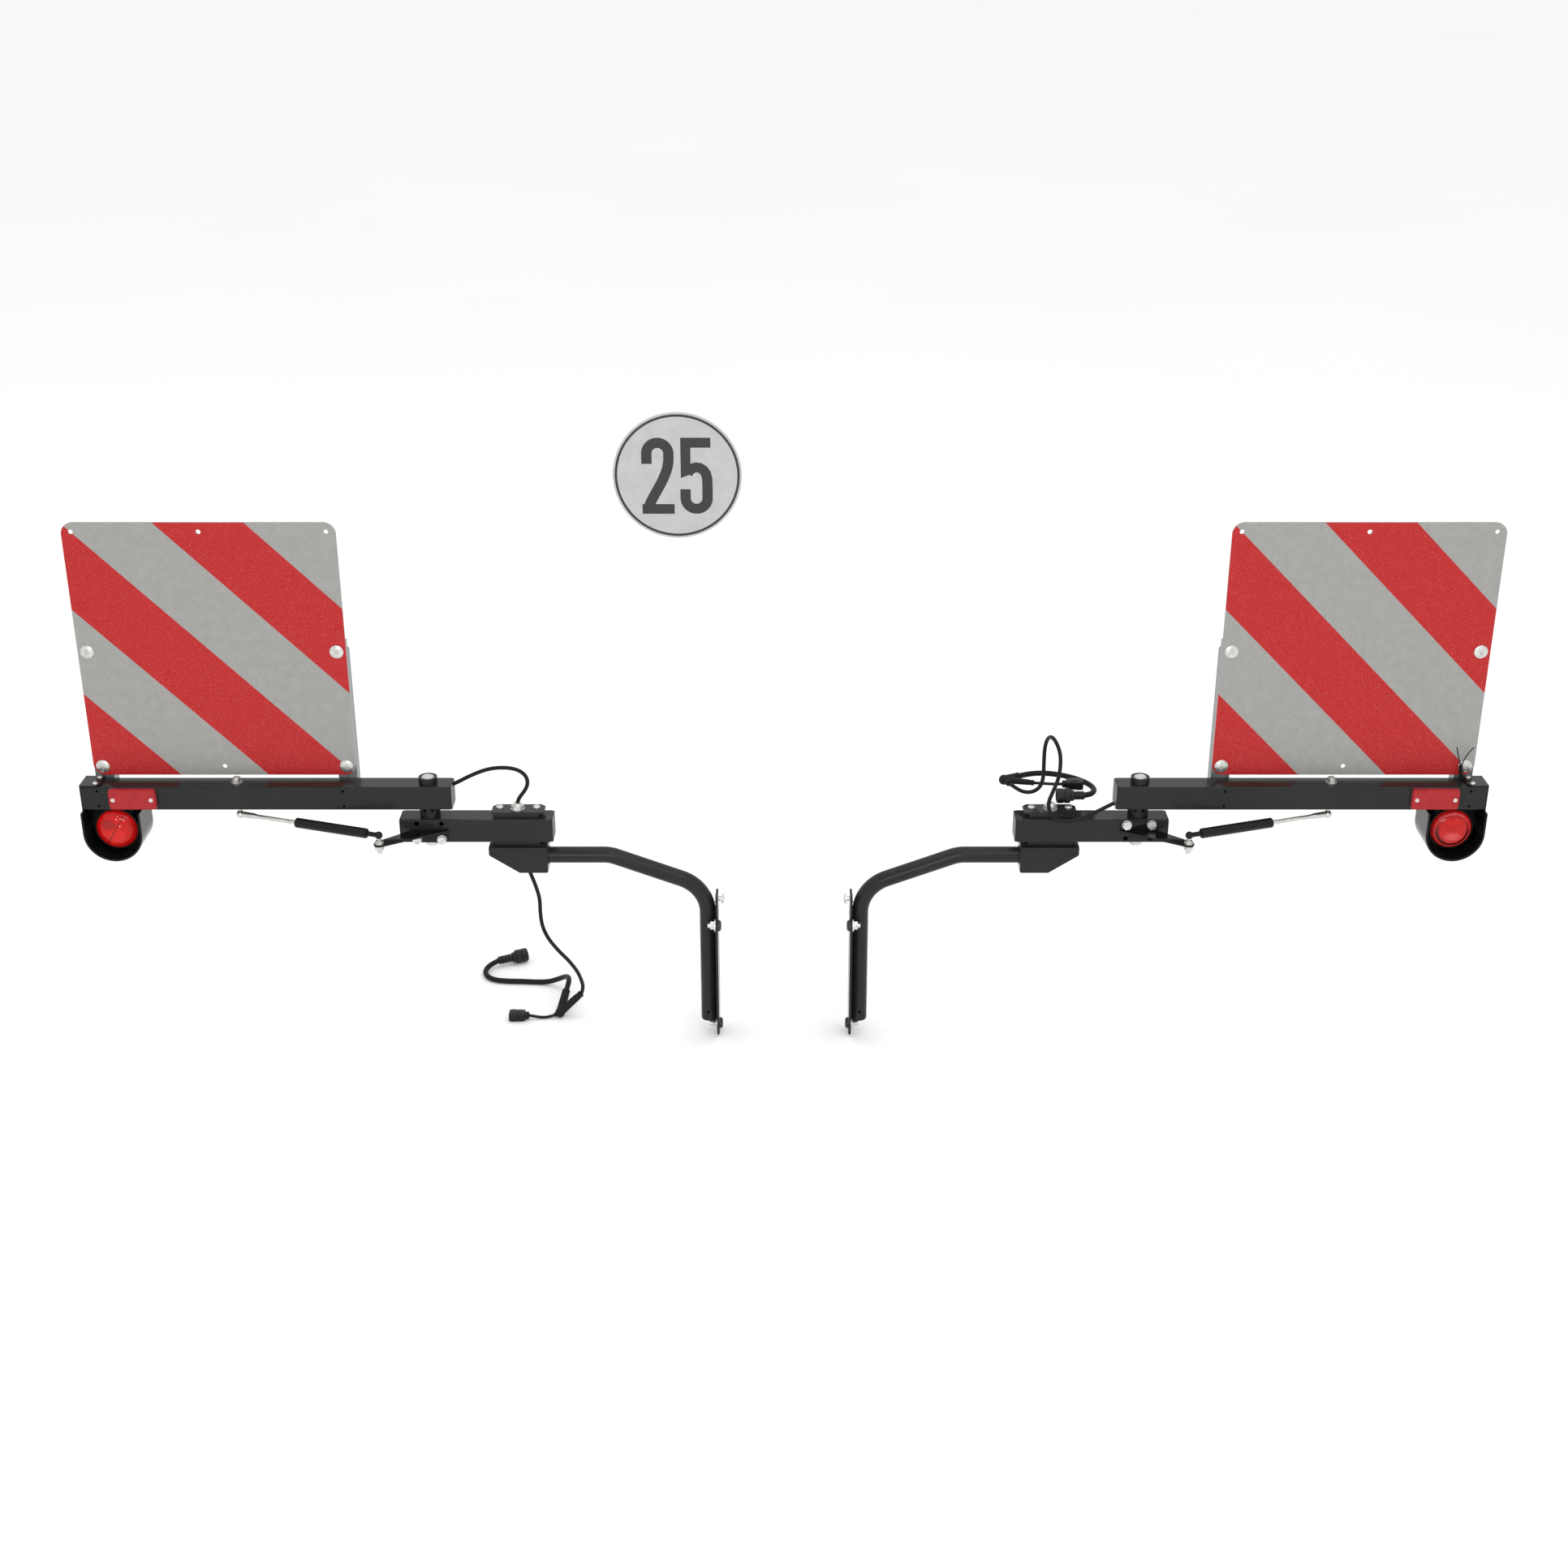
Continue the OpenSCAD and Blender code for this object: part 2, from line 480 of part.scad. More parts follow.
module reflector(right) {
  color([0.75, 0.16, 0.18]) at_side(right) translate([-1043.5, -h, 244]) rotate([90, 0, 0]) difference() {
    linear_extrude(10) rounded(77, 36, 5);
    for (x = [-30.5, 30.5]) translate([x, 0, -1]) cylinder(h = 12, d = 3.6);
  }
}
module trim_screws(right) {
  color(zinc) at_side(right) {
    for (x = [-1074, -1013]) {
      along_y(x, -h - 10, 244) cylinder(h = 14, d = 3.5);
      translate([x, -h - 10, 244]) rotate([90, 0, 0]) dome_head(7.2, 2);
    }
    for (y = [-12.5, 12.5]) translate([-1104, y, ob_top - 3]) { cylinder(h = 6, d = 4); translate([0, 0, 6]) dome_head(9, 3); }
  }
}
module stud_nut(right) {
  color(zinc) at_side(right) translate([stud[0], 0, 0]) {
    translate([0, 0, ob_bot]) cylinder(h = beam_s + 10, d = 7.9);
    translate([0, 0, ob_top]) difference() { cylinder(h = 1.5, d = 18); translate([0, 0, -1]) cylinder(h = 4, d = 7.9); }
    translate([0, 0, ob_top + 1.5]) difference() { hexprism(13, 6.5); translate([0, 0, -1]) cylinder(h = 9, d = 7.9); }
  }
}
module right_pigtail() {
  color(deep) {
    translate([1091, 5, ob_top - 4]) cylinder(h = 5, d = 6.4);
    translate([1091, 5, ob_top + 0.5]) rotate([0, -8, 0]) cylinder(h = 27, d = 6.4);
    cord(wire_a_pts, 2, 8);
    cord(wire_b_pts, 2, 8);
  }
}

// ---- gas strut ----
module strut_frame() { translate(ball) rotate([0, 0, strut_az]) rotate([0, -strut_el, 0]) rotate([0, 90, 0]) children(); }
module strut_cylinder(right) {
  color(deep) at_side(right) strut_frame() difference() {
    union() {
      intersection() { sphere(r = 6.3); translate([-35.4, -20, -20]) cube([40, 40, 40]); }
      cylinder(h = 21, d = 8);
      rotate_extrude() polygon([[0, 20], [6.8, 20], [strut_d / 2, 21.4], [strut_d / 2, 18.6 + strut_body], [7, 20 + strut_body], [0, 20 + strut_body]]);
    }
    translate([-4.1, 0, 0]) rotate([0, 90, 0]) cylinder(h = 20, d = 8.2);
    translate([0, 0, 26]) cylinder(h = 200, d = rod_d + 0.1);
  }
}
module strut_rod(right) {
  color(zinc) at_side(right) {
    strut_frame() difference() {
      union() {
        translate([0, 0, 90]) cylinder(h = strut_len - 90, d = rod_d);
        rotate_extrude() polygon([[0, strut_len - 32], [rod_d / 2, strut_len - 32], [4.9, strut_len - 24], [5.2, strut_len - 8], [5.2, strut_len], [0, strut_len]]);
        translate([0, 0, strut_len]) sphere(r = 6.7);
      }
      translate([4.3, 0, strut_len]) rotate([0, -90, 0]) cylinder(h = 20, d = 8.6);
    }
    // its ball stud, which the outer beam's nut holds
    translate([stud[0], stud[1], 0]) {
      translate([0, 0, stud[2]]) sphere(r = 4.4);
      translate([0, 0, stud[2]]) cylinder(h = ob_bot - 0.4 - stud[2], d = 5);
      translate([0, 0, ob_bot - 4.4]) cylinder(h = 4, d = 8);
    }
  }
}

support_tube(false);  // left_support_tube
support_tube(true);  // right_support_tube
mount_plate(false);  // left_mount_plate
mount_plate(true);  // right_mount_plate
mount_bolts();
clamp_channel(false);  // left_clamp_channel
clamp_channel(true);  // right_clamp_channel
clamp_plates();
clamp_bolts();
inner_beam(false);  // left_inner_beam
inner_beam(true);  // right_inner_beam
inner_end_caps();
pivot_collars();
pivot_bolts();
lever_bracket(false);  // left_lever_bracket
lever_bracket(true);  // right_lever_bracket
lever_bolts();
lever_ball_studs();
cable_glands();
left_jumper_cable();
right_loop_cable();
left_harness_cable();
left_thick_branch();
right_thick_branch();
left_thin_lead();
right_thin_lead();
harness_y_blocks();
round_plugs();
flat_plugs();
speed_disc();
outer_beam(false);  // left_outer_beam
beam_cap(false);  // left_beam_cap
hinge_bush(false);  // left_hinge_bush
warning_board(false);  // left_warning_board
board_brackets(false);  // left_board_brackets
board_bolts(false);  // left_board_bolts
lamp_hood(false);  // left_lamp_hood
lamp_housing(false);  // left_lamp_housing
lamp_lens(false);  // left_lamp_lens
reflector(false);  // left_reflector
trim_screws(false);  // left_trim_screws
stud_nut(false);  // left_stud_nut
outer_beam(true);  // right_outer_beam
beam_cap(true);  // right_beam_cap
hinge_bush(true);  // right_hinge_bush
warning_board(true);  // right_warning_board
board_brackets(true);  // right_board_brackets
board_bolts(true);  // right_board_bolts
lamp_hood(true);  // right_lamp_hood
lamp_housing(true);  // right_lamp_housing
lamp_lens(true);  // right_lamp_lens
reflector(true);  // right_reflector
trim_screws(true);  // right_trim_screws
stud_nut(true);  // right_stud_nut
right_pigtail();
strut_cylinder(false);  // left_strut_cylinder
strut_cylinder(true);  // right_strut_cylinder
strut_rod(false);  // left_strut_rod
strut_rod(true);  // right_strut_rod
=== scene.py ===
import json
import math
import random

import bmesh
import bpy
import numpy as np
from mathutils import Matrix, Vector

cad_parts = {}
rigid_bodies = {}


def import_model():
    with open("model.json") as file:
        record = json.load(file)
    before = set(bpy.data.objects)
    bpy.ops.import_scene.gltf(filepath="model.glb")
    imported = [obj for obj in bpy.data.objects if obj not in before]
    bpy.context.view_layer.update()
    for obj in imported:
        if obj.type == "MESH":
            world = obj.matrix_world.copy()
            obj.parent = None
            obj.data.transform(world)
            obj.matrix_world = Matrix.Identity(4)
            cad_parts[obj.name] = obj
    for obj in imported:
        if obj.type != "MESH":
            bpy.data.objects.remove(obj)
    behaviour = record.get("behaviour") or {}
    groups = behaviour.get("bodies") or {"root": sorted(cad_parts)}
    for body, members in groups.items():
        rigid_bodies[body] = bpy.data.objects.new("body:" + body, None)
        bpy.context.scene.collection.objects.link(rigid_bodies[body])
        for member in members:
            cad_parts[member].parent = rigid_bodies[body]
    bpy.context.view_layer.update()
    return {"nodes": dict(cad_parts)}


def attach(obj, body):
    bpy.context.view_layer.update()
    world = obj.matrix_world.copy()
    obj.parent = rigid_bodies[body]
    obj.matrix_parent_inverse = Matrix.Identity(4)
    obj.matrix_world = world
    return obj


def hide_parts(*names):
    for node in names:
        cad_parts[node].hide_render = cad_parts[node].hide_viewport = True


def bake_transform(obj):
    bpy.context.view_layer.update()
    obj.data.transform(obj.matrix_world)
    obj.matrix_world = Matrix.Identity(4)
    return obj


for stray in list(bpy.data.objects):
    bpy.data.objects.remove(stray, do_unlink=True)
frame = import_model()
NODES = frame["nodes"]
random.seed(7)
scene = bpy.context.scene
MM = 0.001

# ------------------------------------------------------------------ camera
cam_data = bpy.data.cameras.new("camera")
cam_data.sensor_width = 36.0
cam_data.lens = 49.455
cam_data.clip_start = 0.05
cam_data.clip_end = 200.0
cam = bpy.data.objects.new("camera", cam_data)
cam.location = (0.0, -3.1677, 1.6695)
cam.rotation_euler = (math.radians(66.0), 0.0, 0.0)
scene.collection.objects.link(cam)
scene.camera = cam
scene.view_settings.view_transform = "Standard"


# ------------------------------------------------------------------ small helpers
def new_obj(name, mesh):
    o = bpy.data.objects.new(name, mesh)
    scene.collection.objects.link(o)
    return o


def mesh_obj(name, verts, faces, mat=None, smooth=True, sharp=35):
    me = bpy.data.meshes.new(name)
    me.from_pydata([tuple(v) for v in verts], [], faces)
    me.validate()
    bm = bmesh.new()
    bm.from_mesh(me)
    bmesh.ops.recalc_face_normals(bm, faces=bm.faces)
    for e in bm.edges:
        if len(e.link_faces) == 2 and e.calc_face_angle(0) > math.radians(sharp):
            e.smooth = False
    for f in bm.faces:
        f.smooth = smooth
    bm.to_mesh(me)
    bm.free()
    o = new_obj(name, me)
    if mat:
        me.materials.append(mat)
    return o


def frame_matrix(origin, z_axis, x_hint=(0, 0, 1)):
    z = Vector(z_axis).normalized()
    x = Vector(x_hint) - Vector(x_hint).dot(z) * z
    if x.length < 1e-6:
        x = Vector((1, 0, 0)) - Vector((1, 0, 0)).dot(z) * z
    x.normalize()
    y = z.cross(x)
    m = Matrix((x, y, z)).transposed().to_4x4()
    m.translation = Vector(origin)
    return m


def lathe(name, profile, m, mat, segs=48, radius_fn=None, closed=True):
    """profile: [(r, z)] in mm; m places its z axis. radius_fn(angle, i, r) may change a radius."""
    verts, faces, rings = [], [], []
    for i, (r, z) in enumerate(profile):
        if r < 1e-6:
            rings.append([len(verts)])
            verts.append(m @ Vector((0, 0, z * MM)))
        else:
            ring = []
            for k in range(segs):
                a = 2 * math.pi * k / segs
                rr = r if radius_fn is None else radius_fn(a, i, r)
                ring.append(len(verts))
                verts.append(m @ Vector((rr * MM * math.cos(a), rr * MM * math.sin(a), z * MM)))
            rings.append(ring)
    for a, b in zip(rings, rings[1:]):
        if len(a) == 1 and len(b) == 1:
            continue
        for k in range(segs):
            k2 = (k + 1) % segs
            if len(a) == 1:
                faces.append((a[0], b[k2], b[k]))
            elif len(b) == 1:
                faces.append((a[k], a[k2], b[0]))
            else:
                faces.append((a[k], a[k2], b[k2], b[k]))
    return mesh_obj(name, verts, faces, mat)


def rounded_outline(w, d, r, n=6):
    pts = []
    for cx, cy, a0 in ((w / 2 - r, d / 2 - r, 0), (-w / 2 + r, d / 2 - r, 90), (-w / 2 + r, -d / 2 + r, 180), (w / 2 - r, -d / 2 + r, 270)):
        for k in range(n + 1):
            a = math.radians(a0 + 90 * k / n)
            pts.append((cx + r * math.cos(a), cy + r * math.sin(a)))
    return pts


def stack(name, outlines, m, mat, sharp=35):
    """outlines: [(points2d, z)], all with the same number of points, in mm, capped at both ends."""
    verts, faces = [], []
    n = len(outlines[0][0])
    for pts, z in outlines:
        for x, y in pts:
            verts.append(m @ Vector((x * MM, y * MM, z * MM)))
    for i in range(len(outlines) - 1):
        for k in range(n):
            k2 = (k + 1) % n
            faces.append((i * n + k, i * n + k2, (i + 1) * n + k2, (i + 1) * n + k))
    faces.append(tuple(range(n - 1, -1, -1)))
    faces.append(tuple(range((len(outlines) - 1) * n, len(outlines) * n)))
    return mesh_obj(name, verts, faces, mat, sharp=sharp)


def join(name, objs):
    bpy.ops.object.select_all(action="DESELECT")
    for o in objs:
        o.select_set(True)
    bpy.context.view_layer.objects.active = objs[0]
    bpy.ops.object.join()
    objs[0].name = name
    objs[0].data.name = name
    return objs[0]


def smooth_path(points, step=0.003):
    """Catmull-Rom curve through points (mm), sampled about every step metres."""
    p = [Vector(q) * MM for q in points]
    p = [p[0] * 2 - p[1]] + p + [p[-1] * 2 - p[-2]]
    out = []
    for i in range(1, len(p) - 2):
        a, b, c, d = p[i - 1], p[i], p[i + 1], p[i + 2]
        t0 = 0.0
        t1 = t0 + max((b - a).length, 1e-9) ** 0.5
        t2 = t1 + max((c - b).length, 1e-9) ** 0.5
        t3 = t2 + max((d - c).length, 1e-9) ** 0.5
        n = max(2, int(math.ceil((c - b).length / step)))
        for k in range(n):
            t = t1 + (t2 - t1) * k / n
            a1 = a * ((t1 - t) / (t1 - t0)) + b * ((t - t0) / (t1 - t0))
            a2 = b * ((t2 - t) / (t2 - t1)) + c * ((t - t1) / (t2 - t1))
            a3 = c * ((t3 - t) / (t3 - t2)) + d * ((t - t2) / (t3 - t2))
            b1 = a1 * ((t2 - t) / (t2 - t0)) + a2 * ((t - t0) / (t2 - t0))
            b2 = a2 * ((t3 - t) / (t3 - t1)) + a3 * ((t - t1) / (t3 - t1))
            out.append(b1 * ((t2 - t) / (t2 - t1)) + b2 * ((t - t1) / (t2 - t1)))
    out.append(p[-2])
    # a light smoothing takes out the small kinks between the listed points
    for _ in range(8):
        out = [out[0]] + [(out[i - 1] + out[i] * 2 + out[i + 1]) / 4 for i in range(1, len(out) - 1)] + [out[-1]]
    return out


def path_length(path):
    return sum((b - a).length for a, b in zip(path, path[1:]))


def tube(name, path, d_mm, mat, segs=16, hint=(0.2, 0.3, 1.0), d_fn=None):
    verts, faces = [], []
    r = d_mm / 2 * MM
    n = None
    for i, p in enumerate(path):
        t = (path[min(i + 1, len(path) - 1)] - path[max(i - 1, 0)]).normalized()
        n = Vector(hint) if n is None else n
        n = (n - n.dot(t) * t).normalized()
        b = t.cross(n)
        rr = r if d_fn is None else d_fn(i / (len(path) - 1)) / 2 * MM
        for k in range(segs):
            a = 2 * math.pi * k / segs
            verts.append(p + (n * math.cos(a) + b * math.sin(a)) * rr)
    for i in range(len(path) - 1):
        for k in range(segs):
            k2 = (k + 1) % segs
            faces.append((i * segs + k, i * segs + k2, (i + 1) * segs + k2, (i + 1) * segs + k))
    faces.append(tuple(range(segs - 1, -1, -1)))
    faces.append(tuple(range((len(path) - 1) * segs, len(path) * segs)))
    return mesh_obj(name, verts, faces, mat, sharp=60)


# ------------------------------------------------------------------ materials
def principled(name):
    mat = bpy.data.materials.new(name)
    mat.use_nodes = True
    nt = mat.node_tree
    bsdf = nt.nodes["Principled BSDF"]
    tc = nt.nodes.new("ShaderNodeTexCoord")
    return mat, nt, bsdf, tc.outputs["Object"]


def noise(nt, vec, scale, detail=3.0, rough=0.55, distortion=0.0):
    n = nt.nodes.new("ShaderNodeTexNoise")
    n.inputs["Scale"].default_value = scale
    n.inputs["Detail"].default_value = detail
    n.inputs["Roughness"].default_value = rough
    n.inputs["Distortion"].default_value = distortion
    nt.links.new(vec, n.inputs["Vector"])
    return n.outputs["Fac"]


def map_range(nt, v, a, b, c, d, smooth=False):
    n = nt.nodes.new("ShaderNodeMapRange")
    if smooth:
        n.interpolation_type = "SMOOTHSTEP"
    for i, x in enumerate((a, b, c, d)):
        n.inputs[i + 1].default_value = x
    nt.links.new(v, n.inputs[0])
    return n.outputs[0]


def mix_rgb(nt, fac, a, b, blend="MIX"):
    n = nt.nodes.new("ShaderNodeMix")
    n.data_type = "RGBA"
    n.blend_type = blend
    for socket, value in ((n.inputs["Factor"], fac), (n.inputs[6], a), (n.inputs[7], b)):
        if isinstance(value, bpy.types.NodeSocket):
            nt.links.new(value, socket)
        elif isinstance(value, (int, float)):
            socket.default_value = value
        else:
            socket.default_value = (*value, 1.0)
    return n.outputs[2]


def math_node(nt, op, a, b=None, c=None):
    n = nt.nodes.new("ShaderNodeMath")
    n.operation = op
    for i, v in enumerate((a, b, c)):
        if v is None:
            continue
        if isinstance(v, bpy.types.NodeSocket):
            nt.links.new(v, n.inputs[i])
        else:
            n.inputs[i].default_value = v
    return n.outputs[0]


def bump(nt, height, strength, distance, bsdf, prior=None):
    n = nt.nodes.new("ShaderNodeBump")
    n.inputs["Strength"].default_value = strength
    n.inputs["Distance"].default_value = distance
    nt.links.new(height, n.inputs["Height"])
    if prior is not None:
        nt.links.new(prior, n.inputs["Normal"])
    nt.links.new(n.outputs["Normal"], bsdf.inputs["Normal"])
    return n.outputs["Normal"]


def separate(nt, vec):
    n = nt.nodes.new("ShaderNodeSeparateXYZ")
    nt.links.new(vec, n.inputs[0])
    return n.outputs


def surface(name, dark, light, rough=(0.3, 0.4), metal=0.0, coat=0.0, coat_rough=0.05, spec=0.5,
            big=14.0, fine=900.0, bump_s=0.12, bump_d=0.00008, detail=4.0, speck=0.0):
    """A coated or bare surface with broad colour drift, fine grain, and roughness that varies."""
    mat, nt, b, vec = principled(name)
    wide = noise(nt, vec, big, detail)
    grain = noise(nt, vec, fine, 2.0, 0.6)
    blendf = math_node(nt, "MULTIPLY_ADD", wide, 0.7, math_node(nt, "MULTIPLY", grain, 0.3))
    col = mix_rgb(nt, map_range(nt, blendf, 0.35, 0.68, 0.0, 1.0), dark, light)
    if speck:
        sp = map_range(nt, noise(nt, vec, fine * 1.9, 1.0), 0.66, 0.74, 0.0, speck)
        col = mix_rgb(nt, sp, col, tuple(min(1.0, c * 2.2 + 0.02) for c in light))
    nt.links.new(col, b.inputs["Base Color"])
    nt.links.new(map_range(nt, blendf, 0.3, 0.7, rough[0], rough[1]), b.inputs["Roughness"])
    b.inputs["Metallic"].default_value = metal
    b.inputs["Specular IOR Level"].default_value = spec
    b.inputs["Coat Weight"].default_value = coat
    b.inputs["Coat Roughness"].default_value = coat_rough
    bump(nt, grain, bump_s, bump_d, b)
    return mat


M = {}
M["powder"] = surface("powder_coat_black", (0.0155, 0.0180, 0.0172), (0.0195, 0.0220, 0.0212), rough=(0.17, 0.23), spec=0.17, fine=650.0, bump_s=0.04, bump_d=0.00003)
M["gloss"] = surface("gloss_black_paint", (0.004, 0.0046, 0.0046), (0.0075, 0.0082, 0.0082), rough=(0.09, 0.14), spec=0.24, fine=500.0, bump_s=0.03, bump_d=0.00003)
M["plastic"] = surface("moulded_black_plastic", (0.006, 0.006, 0.006), (0.011, 0.011, 0.011), rough=(0.28, 0.42), spec=0.25, fine=1600.0, bump_s=0.12, bump_d=0.00005)
M["rubber"] = surface("cable_rubber", (0.0055, 0.0055, 0.0055), (0.0095, 0.0095, 0.0092), rough=(0.38, 0.52), spec=0.16, fine=1200.0, bump_s=0.12, bump_d=0.00005)
M["strut"] = surface("strut_black_lacquer", (0.004, 0.004, 0.004), (0.0075, 0.0075, 0.0075), rough=(0.22, 0.32), spec=0.22, fine=800.0, bump_s=0.05, bump_d=0.00004)
M["zinc"] = surface("zinc_plate", (0.50, 0.50, 0.48), (0.74, 0.74, 0.715), rough=(0.24, 0.42), metal=0.85, big=160.0, fine=1500.0, bump_s=0.25, bump_d=0.00006)
M["galv"] = surface("galvanised_sheet", (0.20, 0.215, 0.215), (0.34, 0.355, 0.352), rough=(0.34, 0.52), metal=0.8, big=85.0, fine=900.0, bump_s=0.2, bump_d=0.00006)
M["steel"] = surface("strut_rod_steel", (0.50, 0.49, 0.46), (0.70, 0.69, 0.66), rough=(0.16, 0.28), metal=0.92, big=120.0, fine=1800.0, bump_s=0.1, bump_d=0.00004)
M["print"] = surface("printed_black_film", (0.010, 0.010, 0.010), (0.018, 0.018, 0.018), rough=(0.3, 0.42), fine=700.0, bump_s=0.08, bump_d=0.00004)
M["dark_base"] = surface("reflector_base", (0.05, 0.006, 0.008), (0.09, 0.01, 0.012), rough=(0.3, 0.45), fine=1200.0, bump_s=0.15, bump_d=0.00005)


def board_material(name, x_left, z_top):
    """Retro-reflective film with 100 mm stripes that fall to the right, printed on a metal sheet with a bare back."""
    mat, nt, b, vec = principled(name)
    x, y, z = separate(nt, vec)[:3]
    u = math_node(nt, "SUBTRACT", x, x_left)
    t = math_node(nt, "SUBTRACT", z_top, z)
    c = math_node(nt, "SUBTRACT", t, u)
    phase = math_node(nt, "DIVIDE", c, 0.28284)
    red = math_node(nt, "LESS_THAN", math_node(nt, "FRACT", math_node(nt, "ADD", phase, 8.0)), 0.5)
    # beads of the film: a fine grain with sparser dark specks, bright specks that are painted glints of the beads, and
    # a faint honeycomb of seal lines
    grain = noise(nt, vec, 420.0, 3.0, 0.7)
    patch = noise(nt, vec, 60.0, 4.0, 0.6)
    bead = nt.nodes.new("ShaderNodeTexVoronoi")
    bead.inputs["Scale"].default_value = 310.0
    nt.links.new(vec, bead.inputs["Vector"])
    cell = bead.outputs["Distance"]
    tone = math_node(nt, "MULTIPLY_ADD", grain, 0.65, math_node(nt, "MULTIPLY", patch, 0.35))
    tone = map_range(nt, tone, 0.34, 0.66, 0.0, 1.0)
    white = mix_rgb(nt, tone, (0.262, 0.260, 0.250), (0.338, 0.336, 0.323))
    redc = mix_rgb(nt, tone, (0.385, 0.014, 0.015), (0.455, 0.021, 0.021))
    film = mix_rgb(nt, red, white, redc)
    # bright specks: the beads' texture, lightened into painted glints in the film colour
    painted_bead_glints = map_range(nt, noise(nt, vec, 1500.0, 1.0, 0.4), 0.66, 0.72, 0.0, 0.30)
    film = mix_rgb(nt, painted_bead_glints, film, (0.62, 0.55, 0.53))
    front = math_node(nt, "LESS_THAN", y, 0.0176)
    bare = mix_rgb(nt, patch, (0.30, 0.31, 0.31), (0.42, 0.43, 0.43))
    nt.links.new(mix_rgb(nt, front, bare, film), b.inputs["Base Color"])
    nt.links.new(map_range(nt, tone, 0.0, 1.0, 0.30, 0.44), b.inputs["Roughness"])
    nt.links.new(math_node(nt, "MULTIPLY", math_node(nt, "SUBTRACT", 1.0, front), 0.8), b.inputs["Metallic"])
    b.inputs["Specular IOR Level"].default_value = 0.16
    n1 = bump(nt, cell, 0.10, 0.00012, b)
    bump(nt, grain, 0.18, 0.00015, b, n1)
    return mat


def red_plastic(name, dark, light, pattern=None, trans=0.0, rough=(0.05, 0.1), emit=0.0, coat=0.1):
    mat, nt, b, vec = principled(name)
    wide = noise(nt, vec, 70.0, 2.0)
    col = mix_rgb(nt, map_range(nt, wide, 0.35, 0.65, 0, 1), dark, light)
    height = noise(nt, vec, 500.0, 2.0)
    if pattern == "prisms":
        # cube-corner cells of a reflector
        v = nt.nodes.new("ShaderNodeTexVoronoi")
        v.feature = "F1"
        v.distance = "MANHATTAN"
        v.inputs["Randomness"].default_value = 0.0
        v.inputs["Scale"].default_value = 430.0
        nt.links.new(vec, v.inputs["Vector"])
        height = v.outputs["Distance"]
        col = mix_rgb(nt, map_range(nt, height, 0.2, 0.9, 0.0, 0.25), col, tuple(c * 0.6 for c in dark))
    nt.links.new(col, b.inputs["Base Color"])
    nt.links.new(map_range(nt, wide, 0.3, 0.7, rough[0], rough[1]), b.inputs["Roughness"])
    b.inputs["Transmission Weight"].default_value = trans
    b.inputs["IOR"].default_value = 1.49
    b.inputs["Specular IOR Level"].default_value = 0.2
    b.inputs["Coat Weight"].default_value = coat
    b.inputs["Coat Roughness"].default_value = 0.04
    if emit:
        nt.links.new(col, b.inputs["Emission Color"])
        b.inputs["Emission Strength"].default_value = emit
    bump(nt, height, 0.35 if pattern else 0.04, 0.0004 if pattern else 0.00005, b)
    return mat


